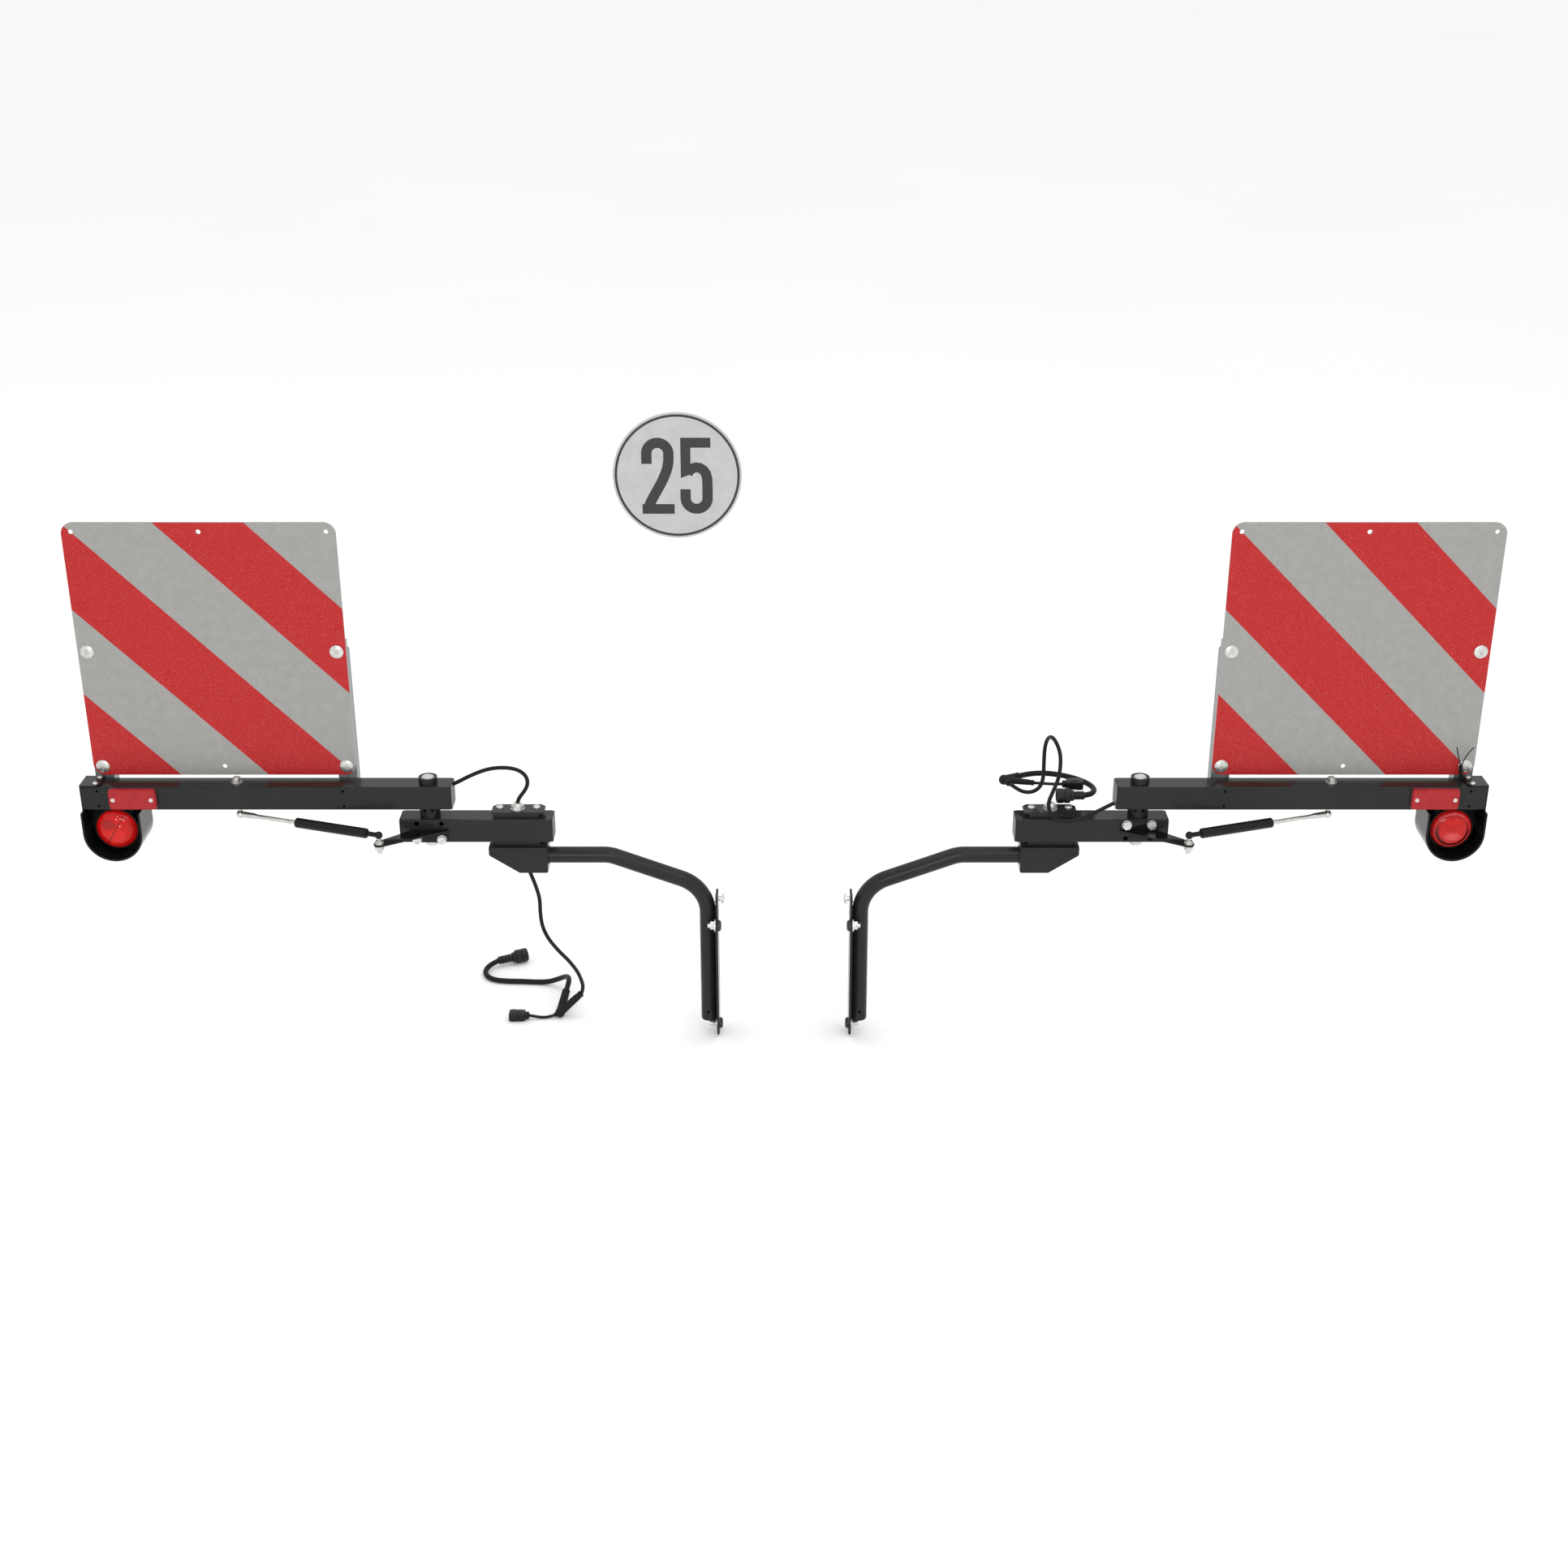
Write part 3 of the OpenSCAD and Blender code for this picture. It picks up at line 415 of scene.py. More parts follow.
def lens_material(name, side):
    """Red lens. The left one shows a divider, a dark oval, a painted pale reflection low on the dome and small painted
    glints; the right one is a plain dome in a ring, with a painted pale reflection low on the dome.
    """
    mat, nt, b, vec = principled(name)
    x, y, z = separate(nt, vec)[:3]
    dx = math_node(nt, "MULTIPLY", math_node(nt, "SUBTRACT", x, -1.079 if side < 0 else 1.079), 1000.0)
    dz = math_node(nt, "MULTIPLY", math_node(nt, "SUBTRACT", z, 0.186), 1000.0)
    r = math_node(nt, "SQRT", math_node(nt, "ADD", math_node(nt, "MULTIPLY", dx, dx), math_node(nt, "MULTIPLY", dz, dz)))

    def band(v, centre, half, soft):
        return map_range(nt, math_node(nt, "ABSOLUTE", math_node(nt, "SUBTRACT", v, centre)), half, half + soft, 1.0, 0.0, True)

    def spot(cx, cz, rx, rz, soft):
        a = math_node(nt, "DIVIDE", math_node(nt, "SUBTRACT", dx, cx), rx)
        c = math_node(nt, "DIVIDE", math_node(nt, "SUBTRACT", dz, cz), rz)
        d = math_node(nt, "SQRT", math_node(nt, "ADD", math_node(nt, "MULTIPLY", a, a), math_node(nt, "MULTIPLY", c, c)))
        return map_range(nt, d, 1.0 - soft, 1.0, 1.0, 0.0, True)

    wide = noise(nt, vec, 90.0, 3.0)
    if side < 0:
        col = mix_rgb(nt, map_range(nt, wide, 0.35, 0.65, 0, 1), (0.47, 0.004, 0.003), (0.56, 0.009, 0.007))
        # painted reflection: a paler patch below the centre of the dome
        col = mix_rgb(nt, math_node(nt, "MULTIPLY", spot(3.0, -8.0, 17, 13, 0.35), 0.5), col, (0.60, 0.026, 0.020))
        col = mix_rgb(nt, math_node(nt, "MULTIPLY", spot(-9.2, 11.5, 11.5, 9.5, 0.18), 0.75), col, (0.26, 0.012, 0.012))
        q = math_node(nt, "SUBTRACT", math_node(nt, "MULTIPLY", dx, 0.85), math_node(nt, "MULTIPLY", dz, 0.53))
        line = math_node(nt, "MULTIPLY", band(q, -0.6, 0.55, 0.5), map_range(nt, r, 28.0, 29.5, 1.0, 0.0))
        col = mix_rgb(nt, math_node(nt, "MULTIPLY", line, 0.9), col, (0.10, 0.003, 0.003))
        col = mix_rgb(nt, math_node(nt, "MULTIPLY", band(r, 26.2, 0.35, 0.5), 0.6), col, (0.22, 0.004, 0.004))
        # painted highlights: small pale glints put into the lens colour
        painted_glint = math_node(nt, "MAXIMUM", spot(3.4, 20.5, 1.5, 1.3, 0.6), math_node(nt, "MAXIMUM", spot(5.6, 25.0, 1.0, 0.9, 0.6), spot(8.6, 9.0, 1.8, 1.4, 0.8)))
        col = mix_rgb(nt, math_node(nt, "MULTIPLY", painted_glint, 0.8), col, (0.95, 0.62, 0.58))
    else:
        col = mix_rgb(nt, map_range(nt, wide, 0.35, 0.65, 0, 1), (0.42, 0.005, 0.005), (0.52, 0.013, 0.012))
        # painted reflection: a paler pink patch low on the dome
        col = mix_rgb(nt, math_node(nt, "MULTIPLY", spot(0.0, -9.5, 19, 11, 0.75), 0.8), col, (0.62, 0.085, 0.085))
        col = mix_rgb(nt, math_node(nt, "MULTIPLY", spot(2.0, 0.0, 9, 7, 0.8), 0.55), col, (0.36, 0.008, 0.01))
        low = map_range(nt, dz, -4.0, 10.0, 1.0, 0.25, True)
        col = mix_rgb(nt, math_node(nt, "MULTIPLY", band(r, 24.4, 0.9, 2.6), low), col, (0.06, 0.003, 0.003))
        col = mix_rgb(nt, math_node(nt, "MULTIPLY", band(r, 28.4, 0.7, 1.1), 0.7), col, (0.58, 0.075, 0.075))
    nt.links.new(col, b.inputs["Base Color"])
    nt.links.new(map_range(nt, wide, 0.3, 0.7, 0.06, 0.12), b.inputs["Roughness"])
    b.inputs["Transmission Weight"].default_value = 0.08
    b.inputs["IOR"].default_value = 1.4
    b.inputs["Specular IOR Level"].default_value = 0.35
    nt.links.new(col, b.inputs["Emission Color"])
    b.inputs["Emission Strength"].default_value = 0.09 if side < 0 else 0.04
    bump(nt, r, 0.25, 0.00002, b)
    return mat
M["lens_core"] = red_plastic("lens_red_core", (0.62, 0.006, 0.005), (0.85, 0.02, 0.015), rough=(0.18, 0.3), emit=0.20)
M["reflector"] = red_plastic("reflector_red", (0.355, 0.015, 0.019), (0.425, 0.021, 0.025), pattern="prisms", rough=(0.14, 0.2))
M["reflector_rim"] = red_plastic("reflector_red_rim", (0.42, 0.015, 0.02), (0.55, 0.03, 0.035), rough=(0.12, 0.2))
M["bulb"] = surface("bulb_glass", (0.72, 0.70, 0.66), (0.86, 0.85, 0.82), rough=(0.05, 0.1), coat=1.0, big=60.0)
M["bowl"] = surface("lamp_bowl_chrome", (0.75, 0.75, 0.74), (0.88, 0.88, 0.87), rough=(0.08, 0.16), metal=1.0, big=60.0)
M["disc"] = surface("speed_plate_film", (0.40, 0.40, 0.40), (0.47, 0.47, 0.47), rough=(0.32, 0.45), coat=0.1, big=40.0, fine=420.0, bump_s=0.12, bump_d=0.0001, speck=0.25)
M["wire"] = surface("wire_insulation", (0.006, 0.006, 0.006), (0.012, 0.012, 0.012), rough=(0.35, 0.5), fine=1500.0)
M["weld"] = surface("weld_bead_painted", (0.0155, 0.0180, 0.0172), (0.0195, 0.0220, 0.0212), rough=(0.2, 0.3), spec=0.17, fine=900.0, bump_s=0.2, bump_d=0.00008)

KIND = {
    "support_tube": "powder", "mount_plate": "powder", "mount_bolts": "zinc", "clamp_channel": "powder", "clamp_plates": "powder",
    "clamp_bolts": "zinc", "inner_beam": "powder", "inner_end_caps": "plastic", "pivot_collars": "plastic", "pivot_bolts": "zinc",
    "lever_bracket": "gloss", "lever_bolts": "zinc", "lever_ball_studs": "zinc", "cable_glands": "zinc", "jumper_cable": "rubber",
    "loop_cable": "rubber", "harness_cable": "rubber", "thick_branch": "rubber", "thin_lead": "rubber", "harness_y_blocks": "rubber",
    "round_plugs": "plastic", "flat_plugs": "plastic", "speed_disc": "disc", "outer_beam": "powder", "beam_cap": "plastic",
    "hinge_bush": "plastic", "board_brackets": "galv", "board_bolts": "zinc", "lamp_hood": "gloss", "lamp_housing": "plastic",
    "lamp_lens": "lens_core", "reflector": "reflector", "trim_screws": "zinc", "stud_nut": "zinc", "pigtail": "rubber",
    "strut_cylinder": "strut", "strut_rod": "steel"}


def paint(o, mat):
    if o.material_slots:
        for s in o.material_slots:
            s.material = mat
    else:
        o.data.materials.append(mat)


def mount_bolt_material():
    """Zinc-plated nuts, washers and upper bolt; the heads of the two tight bolts are painted with the plate."""
    mat, nt, b, vec = principled("mount_bolt_plate")
    x, y, z = separate(nt, vec)[:3]
    inner = math_node(nt, "LESS_THAN", math_node(nt, "ABSOLUTE", x), 0.1086)
    low = math_node(nt, "LESS_THAN", z, 0.030)
    black = math_node(nt, "MULTIPLY", inner, low)
    wide = noise(nt, vec, 160.0, 3.0)
    col = mix_rgb(nt, map_range(nt, wide, 0.35, 0.65, 0, 1), (0.50, 0.50, 0.48), (0.74, 0.74, 0.71))
    nt.links.new(mix_rgb(nt, black, col, (0.008, 0.009, 0.009)), b.inputs["Base Color"])
    nt.links.new(map_range(nt, wide, 0.3, 0.7, 0.24, 0.40), b.inputs["Roughness"])
    nt.links.new(math_node(nt, "MULTIPLY", math_node(nt, "SUBTRACT", 1.0, black), 0.85), b.inputs["Metallic"])
    bump(nt, noise(nt, vec, 1500.0, 2.0), 0.15, 0.00005, b)
    return mat


for n, o in NODES.items():
    base = n.replace("left_", "").replace("right_", "")
    if base == "mount_bolts":
        paint(o, mount_bolt_material())
    elif base == "warning_board":
        side = -1 if n.startswith("left") else 1
        paint(o, board_material(n + "_film", -1.113 if side < 0 else 0.690, 0.691))
    else:
        paint(o, M[KIND[base]])

SIDES = (("left", -1), ("right", 1))


def P(s, x, y, z):
    """A point given for the left side, in mm, on side s, in metres."""
    return Vector((x * MM if s < 0 else -x * MM, y * MM, z * MM))


# ------------------------------------------------------------------ cords
ROUTES = {
    "left_jumper_cable": ([[-536, 10, 254], [-531.8, 10, 255.6], [-510, 12, 266.5], [-488, 13, 276], [-470, 13, 281], [-450, 11, 283], [-434, 8.5, 282], [-421.5, 5.5, 277.5], [-413.5, 3.5, 268], [-413, 2.5, 256.5], [-418.5, 2, 246], [-426.5, 2, 236], [-430.6, 2, 228.5], [-431, 2, 222]], 6.4),
    "right_loop_cable": ([[531.7, -12.3, 231.2], [518.5, -14.5, 225], [503.5, -16.5, 217.5], [488, -20.5, 211.5], [472, -24.5, 207.5], [455, -27, 205.5], [439, -27.5, 208], [427.5, -25, 219.5], [424.5, -21.5, 235.5], [431, -17, 252], [439.5, -13, 275], [442, -9.5, 299], [440.5, -6, 317], [434.5, 5, 331], [429, 21, 333], [424.5, 36, 321.5], [422.5, 43.5, 302.5], [422.5, 45, 277], [422, 40.5, 252.5], [417, 35.5, 238], [405, 36, 229], [391.5, 43, 226], [381, 56, 226.5], [371, 70, 229]], 6.4),
    "left_harness_cable": ([[-418, -9, 114], [-405.8, -11, 77.6], [-401.5, -11, 56], [-401.5, -11, 32], [-399.5, -9, 7], [-392, -5, -17.3], [-378, 5, -45.6], [-361.6, 20, -75.4], [-349.6, 38, -107.1], [-345.2, 50.5, -130], [-343.6, 57.5, -146.5], [-347, 60, -160]], 6.4),
    "left_thick_branch": ([[-376, 88, -170], [-373.2, 107, -163.5], [-375.4, 123.5, -164.6], [-382, 138, -171], [-394, 150, -181.5], [-412, 158.5, -192], [-431, 161.8, -195.2], [-463, 164.2, -195.2], [-492, 165.5, -195.2], [-512.2, 170, -195], [-526, 181.5, -194.5], [-531, 199, -193], [-525, 215, -191], [-511, 228, -188.5]], 9.2),
    "right_thick_branch": ([[389, 98, 230], [405, 106, 230], [426, 110, 230], [448, 107.5, 229.5], [469, 99, 229], [488, 85, 228.6], [501.5, 68, 228.2], [507.5, 49, 228], [502, 32, 228], [488, 24.5, 228]], 9.2),
    "left_thin_lead": ([[-394, 45, -195], [-408, 42, -197.3], [-423, 41, -195.5], [-437, 40, -192]], 5.0),
    "right_thin_lead": ([[411, 68, 231], [426, 63, 232], [442, 61, 232], [457, 61, 232]], 5.0),
}
CORD = {}
for name, (pts, d) in ROUTES.items():
    path = smooth_path(pts)
    o = tube(name + "_sheath", path, d, M["rubber"], segs=16)
    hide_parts(name)
    CORD[name] = (o, path, d)

PIG = {"right_pigtail_wire_a": [[1087, 5, 289], [1084, 5, 297], [1080.5, 5, 308], [1077, 5, 321]],
       "right_pigtail_wire_b": [[1088.5, 5, 289], [1090.5, 5, 297], [1096, 5, 310], [1104, 5, 321]]}
for name, pts in PIG.items():
    path = smooth_path(pts, 0.002)
    o = tube(name, path, 2.0, M["wire"], segs=10)
    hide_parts("right_pigtail")
    CORD[name] = (o, path, 2.0)
sheath = tube("right_pigtail_sheath", smooth_path([[1091, 5, 258.2], [1090.9, 5, 262.8], [1089.6, 5, 272], [1088.4, 5, 281], [1087.2, 5, 289.3]], 0.003), 6.4, M["rubber"], segs=16)
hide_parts("right_pigtail")
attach(sheath, "right_arm")


# moulded Y-blocks: two tapered arms that meet in a rounded foot
def limb(name, a, b, d0, d1, mat, n=10):
    a, b = Vector(a) * MM, Vector(b) * MM
    v = (b - a)
    m = frame_matrix(a, v)
    length = v.length / MM
    prof = [(0, 0), (d0 / 2 * 0.82, 0), (d0 / 2 * 0.96, 0.6), (d0 / 2, 1.6)]
    # two ribs of the moulding near the cable end
    for k, z in enumerate((3.0, 4.2, 5.2, 6.4, 7.6, 8.6)):
        prof.append((d0 / 2 * (0.90 if k in (1, 2, 4) else 1.0), z))
    for k in range(n + 1):
        t = k / n
        prof.append((d0 / 2 + (d1 - d0) / 2 * t, 9.6 + (length - 9.6) * t))
    prof.append((0, length))
    return lathe(name, prof, m, mat, segs=24)


def foot(name, c, d, mat):
    prof = [(0, -d / 2)] + [(d / 2 * math.cos(math.radians(a)), d / 2 * math.sin(math.radians(a))) for a in range(-75, 90, 15)] + [(0, d / 2)]
    return lathe(name, prof, frame_matrix(Vector(c) * MM, (0, 0, 1), (1, 0, 0)), mat, segs=24)


LY = [-384, 48, -191.2]
RY = [363, 84, 229.5]
yl = join("left_y_block_moulding", [limb("la", [-347, 60, -160], LY, 12.0, 13.6, M["rubber"]), limb("lb", [-376, 88, -170], LY, 13.8, 14.8, M["rubber"]),
                                    foot("lc", LY, 17.0, M["rubber"]), limb("ld", [-394, 45, -195], LY, 7.4, 9.0, M["rubber"], 2)])
yr = join("right_y_block_moulding", [limb("ra", [371, 70, 229], RY, 11, 13, M["rubber"]), limb("rb", [389, 98, 230], RY, 13.4, 14.8, M["rubber"]),
                                     foot("rc", RY, 17.0, M["rubber"]), limb("rd", [411, 68, 231], RY, 9.5, 12.5, M["rubber"])])
for o in (yl, yr):
    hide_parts("harness_y_blocks")
    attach(o, "root")


def round_plug(name, a, b):
    """Round plug: ribbed sleeve, collar, and a grooved locking ring with an open mouth and pins."""
    a, b = Vector(a), Vector(b)
    m = frame_matrix(a * MM, b - a)
    total = (b - a).length
    sleeve = [(0, -1), (4.8, -1), (6.3, 0), (7.0, 1.5), (7.2, 3)]
    for k in range(4):
        z = 4 + k * (total - 33) / 3.2
        sleeve += [(7.2, z), (6.4, z + 0.6), (6.4, z + 1.5), (7.2, z + 2.1)]
    sleeve += [(7.2, total - 28), (8.6, total - 27.6), (9.0, total - 26.8), (9.0, total - 23), (8.2, total - 22.4), (8.2, total - 21), (0, total - 21)]
    s = lathe(name + "_s", sleeve, m, M["plastic"], segs=36)
    e = total - 22
    ring = [(0, e), (10.6, e), (12.0, e + 1.1), (12.2, e + 2.4), (12.2, e + 9), (11.2, e + 9.6), (11.2, e + 11), (12.2, e + 11.6), (12.2, e + 19), (11.9, e + 21.2), (11.3, e + 22), (9.9, e + 22), (9.6, e + 21), (9.6, e + 11), (0, e + 11)]

    def knurl(a_, i, r):
        return r - (0.7 if i in (3, 4) and (int(a_ / (2 * math.pi) * 72) % 6) < 2 else 0.0)

    r = lathe(name + "_r", ring, m, M["plastic"], segs=72, radius_fn=knurl)
    parts = [s, r]
    for k in range(6):
        ang = k * math.pi / 3
        pm = m @ Matrix.Translation((5.2 * MM * math.cos(ang), 5.2 * MM * math.sin(ang), (e + 10.6) * MM))
        parts.append(lathe(f"{name}_p{k}", [(0, 0), (1.1, 0), (1.1, 7), (0.6, 8), (0, 8)], pm, M["steel"], segs=12))
    # two locking lugs at the sides of the collar
    for k, q in enumerate((-1, 1)):
        lm = m @ Matrix.Translation((0, q * 10.6 * MM, (e - 4.4) * MM))
        parts.append(stack(f"{name}_lug{k}", [(rounded_outline(4.4, 4.6, 1.0), 0), (rounded_outline(4.8, 5.0, 1.1), 0.6), (rounded_outline(4.8, 5.0, 1.1), 4.2), (rounded_outline(4.2, 4.4, 0.9), 5.0)], lm, M["plastic"]))
    return join(name, parts)


def flat_plug(name, origin, direction):
    """Flat sealed plug: grip boot, body with side ribs, a latch on top and a stepped mouth."""
    m = frame_matrix(Vector(origin) * MM, direction, (0, 0, 1))  # local x is up, y is across
    parts = []
    boot = [(rounded_outline(8, 9, 3), -7), (rounded_outline(10, 13, 3), -5.5), (rounded_outline(10, 13, 3), 0.5)]
    parts.append(stack(name + "_b", boot, m, M["rubber"]))
    body = []
    for z, w, d in ((0, 13.0, 17.4), (0.8, 14.2, 18.6), (6, 14.2, 18.6), (6.4, 15.2, 19.8), (8.4, 15.2, 19.8), (8.8, 14.0, 18.4), (10.4, 14.0, 18.4), (10.8, 15.2, 19.8), (12.8, 15.2, 19.8),
                    (13.2, 14.0, 18.4), (14.8, 14.0, 18.4), (15.2, 15.2, 19.8), (24, 15.2, 19.8), (25.6, 14.2, 18.8), (27, 13.6, 18.2)):
        body.append((rounded_outline(w, d, 2.4), z))
    parts.append(stack(name + "_m", body, m, M["plastic"]))
    latch = [(rounded_outline(1.6, 6.5, 0.6), 5), (rounded_outline(2.2, 7.5, 0.8), 9), (rounded_outline(2.4, 8, 0.8), 20), (rounded_outline(1.2, 7, 0.5), 25)]
    parts.append(stack(name + "_l", latch, m @ Matrix.Translation((6.9 * MM, 0, 0)), M["plastic"]))
    return join(name, parts)


lrp = round_plug("left_round_plug", [-511, 228, -188.5], [-462.5, 249.3, -187.5])
rrp = round_plug("right_round_plug", [488, 24.5, 228], [443, 23, 228])
lfp = flat_plug("left_flat_plug", [-443, 40, -192.2], (-1, 0, 0))
rfp = flat_plug("right_flat_plug", [463, 61, 232], (1, 0, 0))
for o, node in ((lrp, "round_plugs"), (rrp, "round_plugs"), (lfp, "flat_plugs"), (rfp, "flat_plugs")):
    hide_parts(node)
    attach(o, "root")


for name in ("left_harness_cable", "left_thick_branch", "left_thin_lead", "right_thick_branch", "right_thin_lead"):
    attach(CORD[name][0], "root")
for name in PIG:
    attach(CORD[name][0], "right_arm")
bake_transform(CORD["left_jumper_cable"][0])
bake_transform(CORD["right_loop_cable"][0])


# ------------------------------------------------------------------ lamps
for side, s in SIDES:
    m = frame_matrix(P(s, -1079, -25, 186), (0, 1, 0), (1, 0, 0))
    # outer lens: smooth dome outside, ribbed prisms inside, and a flange
    outer = [(0, 0), (5, 0.15), (10, 0.5), (14.6, 1.1), (19, 2.0), (22.8, 3.3), (26, 4.8), (28.6, 6.5), (30.5, 8.4), (32.0, 10.2), (33, 12), (33, 14)]
    inner = [(28.9, 14), (28.9, 10.6)]
    r = 27.4
    while r > 3.0:
        base = 2.7 + 8.0 * (r / 29.0) ** 2.6
        inner += [(r, base), (r - 0.9, base + 0.75), (r - 1.9, base - 0.1)]
        r -= 2.5
    inner += [(0, 2.7)]
    lens = lathe(f"{side}_lens_dome", outer + inner, m, lens_material(side + "_lens_red", s), segs=72)
    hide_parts(f"{side}_lamp_lens")
    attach(lens, f"{side}_arm")
    # bowl and coloured core behind the lens
    bowl = lathe(f"{side}_lamp_bowl", [(0, 22), (9, 21.5), (17, 19.6), (24, 16.6), (28.4, 13.6), (28.8, 13.6), (28.8, 14.2), (24.4, 17.3), (17, 20.4), (9, 22.4), (0, 22.9)], m, M["lens_core"], segs=48)
    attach(bowl, f"{side}_arm")
    # rubber bezel round the lens
    bez = lathe(f"{side}_lamp_bezel", [(33.1, 12.6), (34.2, 11.2), (35.4, 11.6), (36.1, 13.2), (36.1, 16.5), (35.2, 17.2), (33.1, 17.2), (33.1, 12.6)], m, M["rubber"], segs=72)
    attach(bez, f"{side}_arm")

# ------------------------------------------------------------------ reflectors
for side, s in SIDES:
    c = P(s, -1043.5, -20, 244)
    m = frame_matrix(c, (0, -1, 0), (1, 0, 0))
    base = stack(f"{side}_reflector_base", [(rounded_outline(77, 36, 5), 0.1), (rounded_outline(77, 36, 5), 3.6), (rounded_outline(75.6, 34.6, 4.6), 4.2)], m, M["dark_base"])
    face = stack(f"{side}_reflector_face", [(rounded_outline(75.4, 34.4, 4.5), 4.0), (rounded_outline(75.4, 34.4, 4.5), 8.2), (rounded_outline(74.2, 33.2, 4.0), 9.2), (rounded_outline(72.6, 31.6, 3.6), 9.2), (rounded_outline(71.8, 30.8, 3.4), 8.7), ], m, M["reflector"])
    # raised plain bosses round the two screws
    bosses = []
    for k, x in enumerate((-30.5, 30.5)):
        bm_ = m @ Matrix.Translation((x * MM, 0, 0))
        bosses.append(lathe(f"{side}_boss{k}", [(0, 8.2), (5.6, 8.2), (5.6, 9.3), (5.1, 9.8), (0, 9.8)], bm_, M["reflector_rim"], segs=32))
    o = join(f"{side}_reflector_body", [face, base] + bosses)
    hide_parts(f"{side}_reflector")
    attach(o, f"{side}_arm")


# ------------------------------------------------------------------ board bolts: mushroom heads with a cross recess
def cross_head(name, m, d, t, mat, slot=2.0, depth=1.3, arm=4.6):
    """Domed head with a cross cut into it, by lowering a grid's vertices."""
    prof = [(0, 0), (d / 2 * 0.97, 0), (d / 2, 0.5), (d / 2 * 0.985, 0.9)]
    segs = 64
    radii = [d / 2 * (0.985 - 0.985 * k / 16) for k in range(1, 17)]
    verts, faces, rings = [], [], []

    def put(r, z):
        ring = []
        for k in range(segs):
            a = 2 * math.pi * k / segs
            x, y = r * math.cos(a), r * math.sin(a)
            zz = z
            if z > 0.95:
                ax, ay = abs(x), abs(y)
                inside = min(max(ax - slot / 2, ay - arm), max(ay - slot / 2, ax - arm))
                if inside < 0:
                    zz = z - depth * min(1.0, -inside / 0.35)
            ring.append(len(verts))
            verts.append(m @ Vector((x * MM, y * MM, zz * MM)))
        rings.append(ring)

    for r, z in prof[1:]:
        put(r, z)
    for r in radii[:-1]:
        put(r, t - (t - 0.95) * (r / (d / 2)) ** 2.2)
    centre = len(verts)
    verts.append(m @ Vector((0, 0, (t - depth) * MM)))
    for a, b in zip(rings, rings[1:]):
        for k in range(segs):
            k2 = (k + 1) % segs
            faces.append((a[k], a[k2], b[k2], b[k]))
    for k in range(segs):
        faces.append((rings[-1][k], rings[-1][(k + 1) % segs], centre))
    faces.append(tuple(reversed(rings[0])))
    return mesh_obj(name, verts, faces, mat)


def hex_nut(name, m, af, t, mat, bore=0.0):
    r = af / 2 / math.cos(math.pi / 6)
    segs = 48

    def rad(a, i, rr):
        if rr < af / 2 * 0.98:
            return rr
        k = (a + math.pi / 6) % (math.pi / 3) - math.pi / 6
        hexr = af / 2 / math.cos(k)
        cap = {1: af / 2 * 1.02, 2: 1e9, 3: 1e9, 4: af / 2 * 1.02}[i] if i in (1, 2, 3, 4) else 1e9
        return min(hexr, cap)

    return lathe(name, [(0, 0), (r, 0), (r, 0.9), (r, t - 0.9), (r, t), (0, t)], m, mat, segs=segs, radius_fn=rad)


for side, s in SIDES:
    parts = []
    for i, x in enumerate((-1098, -705)):
        for j, z in enumerate((283, 479.5)):
            turn = Matrix.Rotation(math.radians(20 + 37 * (i * 2 + j)), 4, "Z")
            parts.append(cross_head(f"{side}_h{i}{j}", frame_matrix(P(s, x, 17, z), (0, -1, 0), (1, 0, 0)) @ turn, 22, 3.2, M["zinc"]))
            parts.append(lathe(f"{side}_s{i}{j}", [(0, 0), (3.45, 0), (3.45, 13.4), (2.9, 14), (0, 14)], frame_matrix(P(s, x, 17, z), (0, 1, 0), (1, 0, 0)), M["zinc"], segs=24))
            parts.append(hex_nut(f"{side}_n{i}{j}", frame_matrix(P(s, x, 23, z), (0, 1, 0), (1, 0, 0)), 11, 5.5, M["zinc"]))
    for i, x in enumerate((-1101, -707)):
        for j, z in enumerate((228.9, 254.8)):
            parts.append(cross_head(f"{side}_k{i}{j}", frame_matrix(P(s, x, 23, z), (0, 1, 0), (1, 0, 0)), 8.4, 2.6, M["zinc"], slot=1.0, depth=0.9, arm=2.0))
            parts.append(lathe(f"{side}_t{i}{j}", [(0, 0), (2.2, 0), (2.2, 7), (0, 7)], frame_matrix(P(s, x, 16, z), (0, 1, 0), (1, 0, 0)), M["zinc"], segs=16))
    o = join(f"{side}_board_fasteners", parts)
    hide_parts(f"{side}_board_bolts")
    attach(o, f"{side}_arm")


# ------------------------------------------------------------------ welds
def weld(name, points, d_mm, mat, seed, hint=(0, 0, 1)):
    rnd = random.Random(seed)
    path = smooth_path(points, 0.0009)
    wob = [rnd.uniform(-0.25, 0.25) for _ in range(len(path))]

    def width(t):
        i = min(len(wob) - 1, int(t * (len(wob) - 1)))
        return d_mm * (1.0 + 0.10 * math.sin(t * path_length(path) / MM * 2 * math.pi / 2.4)) + wob[i] * 0.5

    return tube(name, path, d_mm, mat, segs=10, hint=hint, d_fn=width)


for side, s in SIDES:
    sx = 1 if s < 0 else -1
    beads = []
    ring = []
    for k in range(25):
        a = 2 * math.pi * k / 24
        ring.append([-383.6 * sx, 13.6 * math.sin(a), 133 + 13.6 * math.cos(a)])
    beads.append(weld("w0", ring, 3.0, M["weld"], 11))
    for y in (-6.2, 6.2):
        beads.append(weld(f"w{y}", [[-112.9 * sx, y, z] for z in range(18, -167, -12)], 3.2, M["weld"], int(20 + y)))
    o = join(f"{side}_weld_beads", beads)
    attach(o, "root")


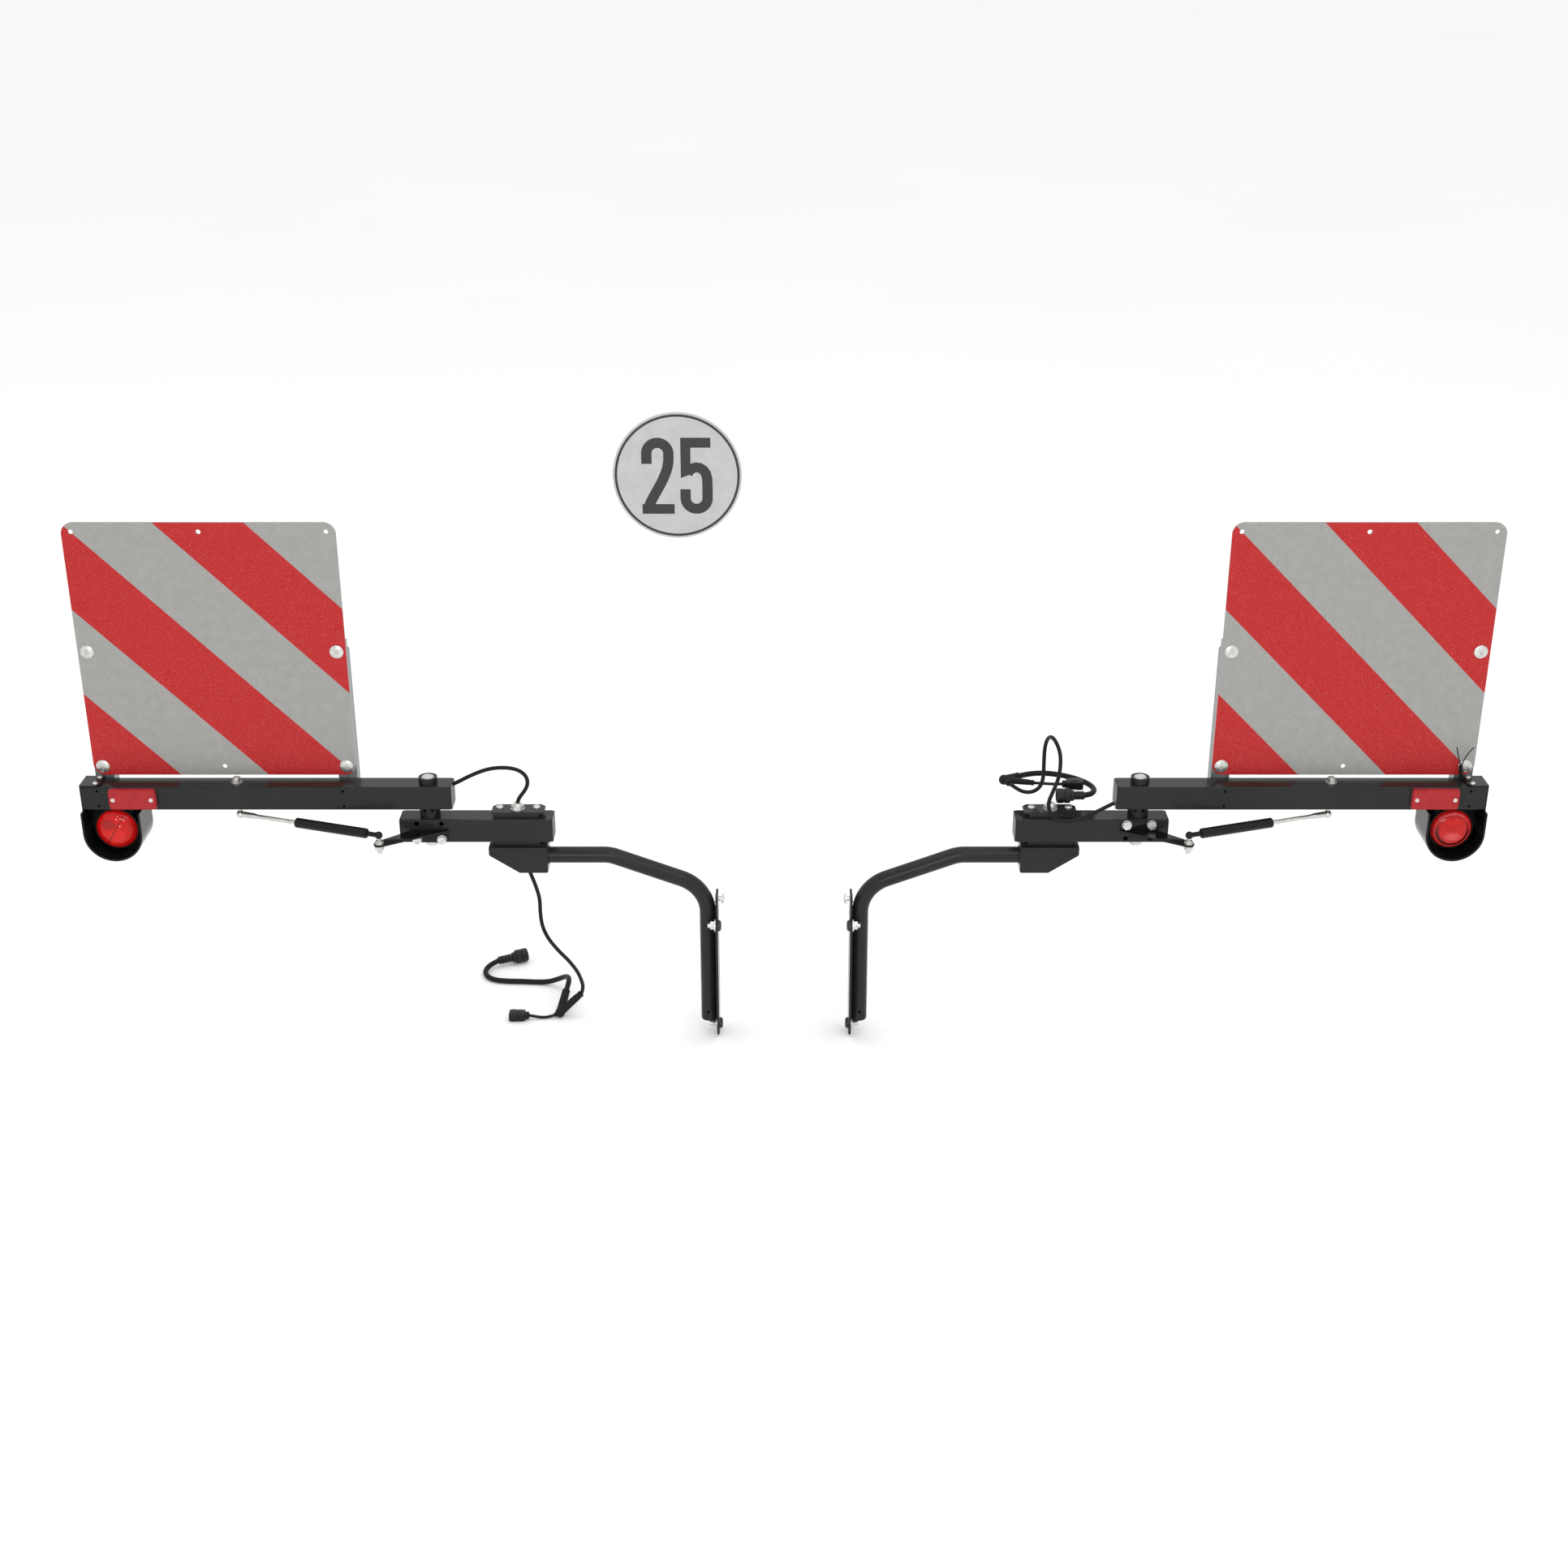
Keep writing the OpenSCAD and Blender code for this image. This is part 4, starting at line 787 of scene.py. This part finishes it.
# ------------------------------------------------------------------ speed plate print
def flat_print(name, quads_outline, y0, y1, mat):
    """Polygons in the plate's plane, given in mm about its centre, as thin solids."""
    objs = []
    for i, pts in enumerate(quads_outline):
        verts = [Vector(((-165.4 + x) * MM, y0 * MM, (748.4 + z) * MM)) for x, z in pts] + [Vector(((-165.4 + x) * MM, y1 * MM, (748.4 + z) * MM)) for x, z in pts]
        n = len(pts)
        faces = [tuple(range(n)), tuple(range(2 * n - 1, n - 1, -1))] + [(k, (k + 1) % n, n + (k + 1) % n, n + k) for k in range(n)]
        objs.append(mesh_obj(f"{name}{i}", verts, faces, mat, smooth=False))
    return join(name, objs)


def arc(cx, cz, r, a0, a1, n=16):
    return [(cx + r * math.cos(math.radians(a0 + (a1 - a0) * k / n)), cz + r * math.sin(math.radians(a0 + (a1 - a0) * k / n))) for k in range(n + 1)]


def stroke(name, pts, width, mat, y0, y1):
    """A thick line of constant or varying width along pts."""
    w = width if isinstance(width, list) else [width] * len(pts)
    verts, faces = [], []
    n = len(pts)
    for side_y in (y0, y1):
        for i, (x, z) in enumerate(pts):
            x0, z0 = pts[max(i - 1, 0)]
            x1, z1 = pts[min(i + 1, n - 1)]
            length = math.hypot(x1 - x0, z1 - z0)
            nx, nz = -(z1 - z0) / length, (x1 - x0) / length
            for q in (1, -1):
                verts.append(Vector(((-165.4 + x + q * nx * w[i] / 2) * MM, side_y * MM, (748.4 + z + q * nz * w[i] / 2) * MM)))
    for i in range(n - 1):
        a, b, c, d = 2 * i, 2 * i + 1, 2 * i + 3, 2 * i + 2
        o_ = 2 * n
        faces += [(a, b, c, d), (a + o_, d + o_, c + o_, b + o_), (a, d, d + o_, a + o_), (b, b + o_, c + o_, c)]
    faces += [(0, 2 * n, 2 * n + 1, 1), (2 * n - 2, 2 * n - 1, 4 * n - 1, 4 * n - 2)]
    return mesh_obj(name, verts, faces, mat, smooth=False)


Y0, Y1 = 74.98, 74.75
ringv, ringf = [], []
N = 96
for yy in (Y0, Y1):
    for rr in (93.2, 96.9):
        for k in range(N):
            a = 2 * math.pi * k / N
            ringv.append(Vector(((-165.4 + rr * math.cos(a)) * MM, yy * MM, (748.4 + rr * math.sin(a)) * MM)))
for k in range(N):
    k2 = (k + 1) % N
    ringf += [(k, k2, N + k2, N + k), (2 * N + k, 3 * N + k, 3 * N + k2, 2 * N + k2), (k, 2 * N + k, 2 * N + k2, k2), (N + k, N + k2, 3 * N + k2, 3 * N + k)]
ring_o = mesh_obj("pr", ringv, ringf, M["print"], smooth=False)
two = [(-47.1, 19.0), (-47.1, 28)] + arc(-30.05, 35.2, 17.0, 180, 0, 22) + [(-13.05, 29), (-13.4, 22), (-14.8, 14), (-17.6, 5), (-21.6, -4.5), (-26.5, -14), (-32, -24), (-37.2, -33), (-41.5, -41), (-44.2, -47.5), (-45.6, -53)]
five = [(12.6, 14.5), (15.6, 19.6), (20.2, 22.6)] 
bowl5 = [(16.0, 3.0), (18.4, 7.8), (23.2, 11.6), (29.2, 13.4), (35.2, 12.6), (40.6, 9.0), (44.6, 3.0), (46.4, -5), (46.6, -14), (46.6, -28)] + arc(29.5, -35.8, 17.1, 0, -180, 22) + [(12.4, -29), (12.4, -21.5)]
parts = [ring_o,
         stroke("pa", two, 16.0, M["print"], Y0, Y1),
         flat_print("pb", [[(-55.1, -60.9), (-5.0, -60.9), (-5.0, -45.4), (-55.1, -45.4)]], Y0 - 0.002, Y1 - 0.002, M["print"]),
         flat_print("pc", [[(5.6, 44.6), (52.0, 44.6), (52.0, 60.2), (5.6, 60.2)]], Y0 - 0.002, Y1 - 0.002, M["print"]),
         flat_print("pd", [[(5.6, -3.4), (20.6, 2.2), (21.0, 44.7), (5.6, 44.7)]], Y0 - 0.004, Y1 - 0.004, M["print"]),
         stroke("pe", bowl5, 16.0, M["print"], Y0, Y1)]
o = join("speed_plate_print", parts)
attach(o, "root")

# ------------------------------------------------------------------ soft edges and shading on the carried-over nodes
for n, o in NODES.items():
    if o.hide_render:
        continue
    base = n.replace("left_", "").replace("right_", "")
    for p in o.data.polygons:
        p.use_smooth = True
    if base in ("outer_beam", "inner_beam", "clamp_channel", "clamp_plates", "lever_bracket", "mount_plate", "lamp_hood", "board_brackets", "warning_board",
                "beam_cap", "inner_end_caps", "pivot_collars", "hinge_bush", "speed_disc", "lever_bolts", "mount_bolts", "pivot_bolts", "stud_nut", "clamp_bolts", "lever_ball_studs", "trim_screws", "cable_glands"):
        bv = o.modifiers.new("edge", "BEVEL")
        bv.width = 0.0005 if base not in ("warning_board", "speed_disc") else 0.0003
        bv.segments = 2
        bv.limit_method = "ANGLE"
        bv.angle_limit = math.radians(50)
        bv.harden_normals = False
        bv.use_clamp_overlap = True

# ------------------------------------------------------------------ floor and light
floor = mesh_obj("floor", [(-60, -60, -0.2), (60, -60, -0.2), (60, 60, -0.2), (-60, 60, -0.2)], [(0, 1, 2, 3)], None, smooth=False)
fm, fnt, fb, fvec = principled("pale_floor")
fcol = mix_rgb(fnt, map_range(fnt, noise(fnt, fvec, 0.6, 2.0), 0.3, 0.7, 0, 1), (0.955, 0.955, 0.955), (0.97, 0.97, 0.97))
fnt.links.new(fcol, fb.inputs["Base Color"])
fb.inputs["Roughness"].default_value = 0.9
fb.inputs["Specular IOR Level"].default_value = 0.0
paint(floor, fm)

world = bpy.data.worlds.new("studio") if scene.world is None else scene.world
scene.world = world
world.use_nodes = True
bg = world.node_tree.nodes.get("Background") or world.node_tree.nodes.new("ShaderNodeBackground")
bg.inputs["Color"].default_value = (1.0, 1.0, 1.0, 1.0)
bg.inputs["Strength"].default_value = 0.98


def area(name, loc, target, size, power):
    d = bpy.data.lights.new(name, "AREA")
    d.shape = "RECTANGLE"
    d.size, d.size_y = size
    d.energy = power
    o = bpy.data.objects.new(name, d)
    o.location = loc
    o.rotation_euler = (Vector(target) - Vector(loc)).to_track_quat("-Z", "Y").to_euler()
    scene.collection.objects.link(o)
    return o


area("key", (1.4, -3.2, 4.2), (0, 0, 0.3), (3.0, 3.0), 40)
area("front", (-0.4, -4.2, 1.4), (0, 0, 0.1), (1.6, 0.9), 26)
area("top", (0.0, 0.6, 4.5), (0, 0, 0.2), (5.0, 2.0), 30)
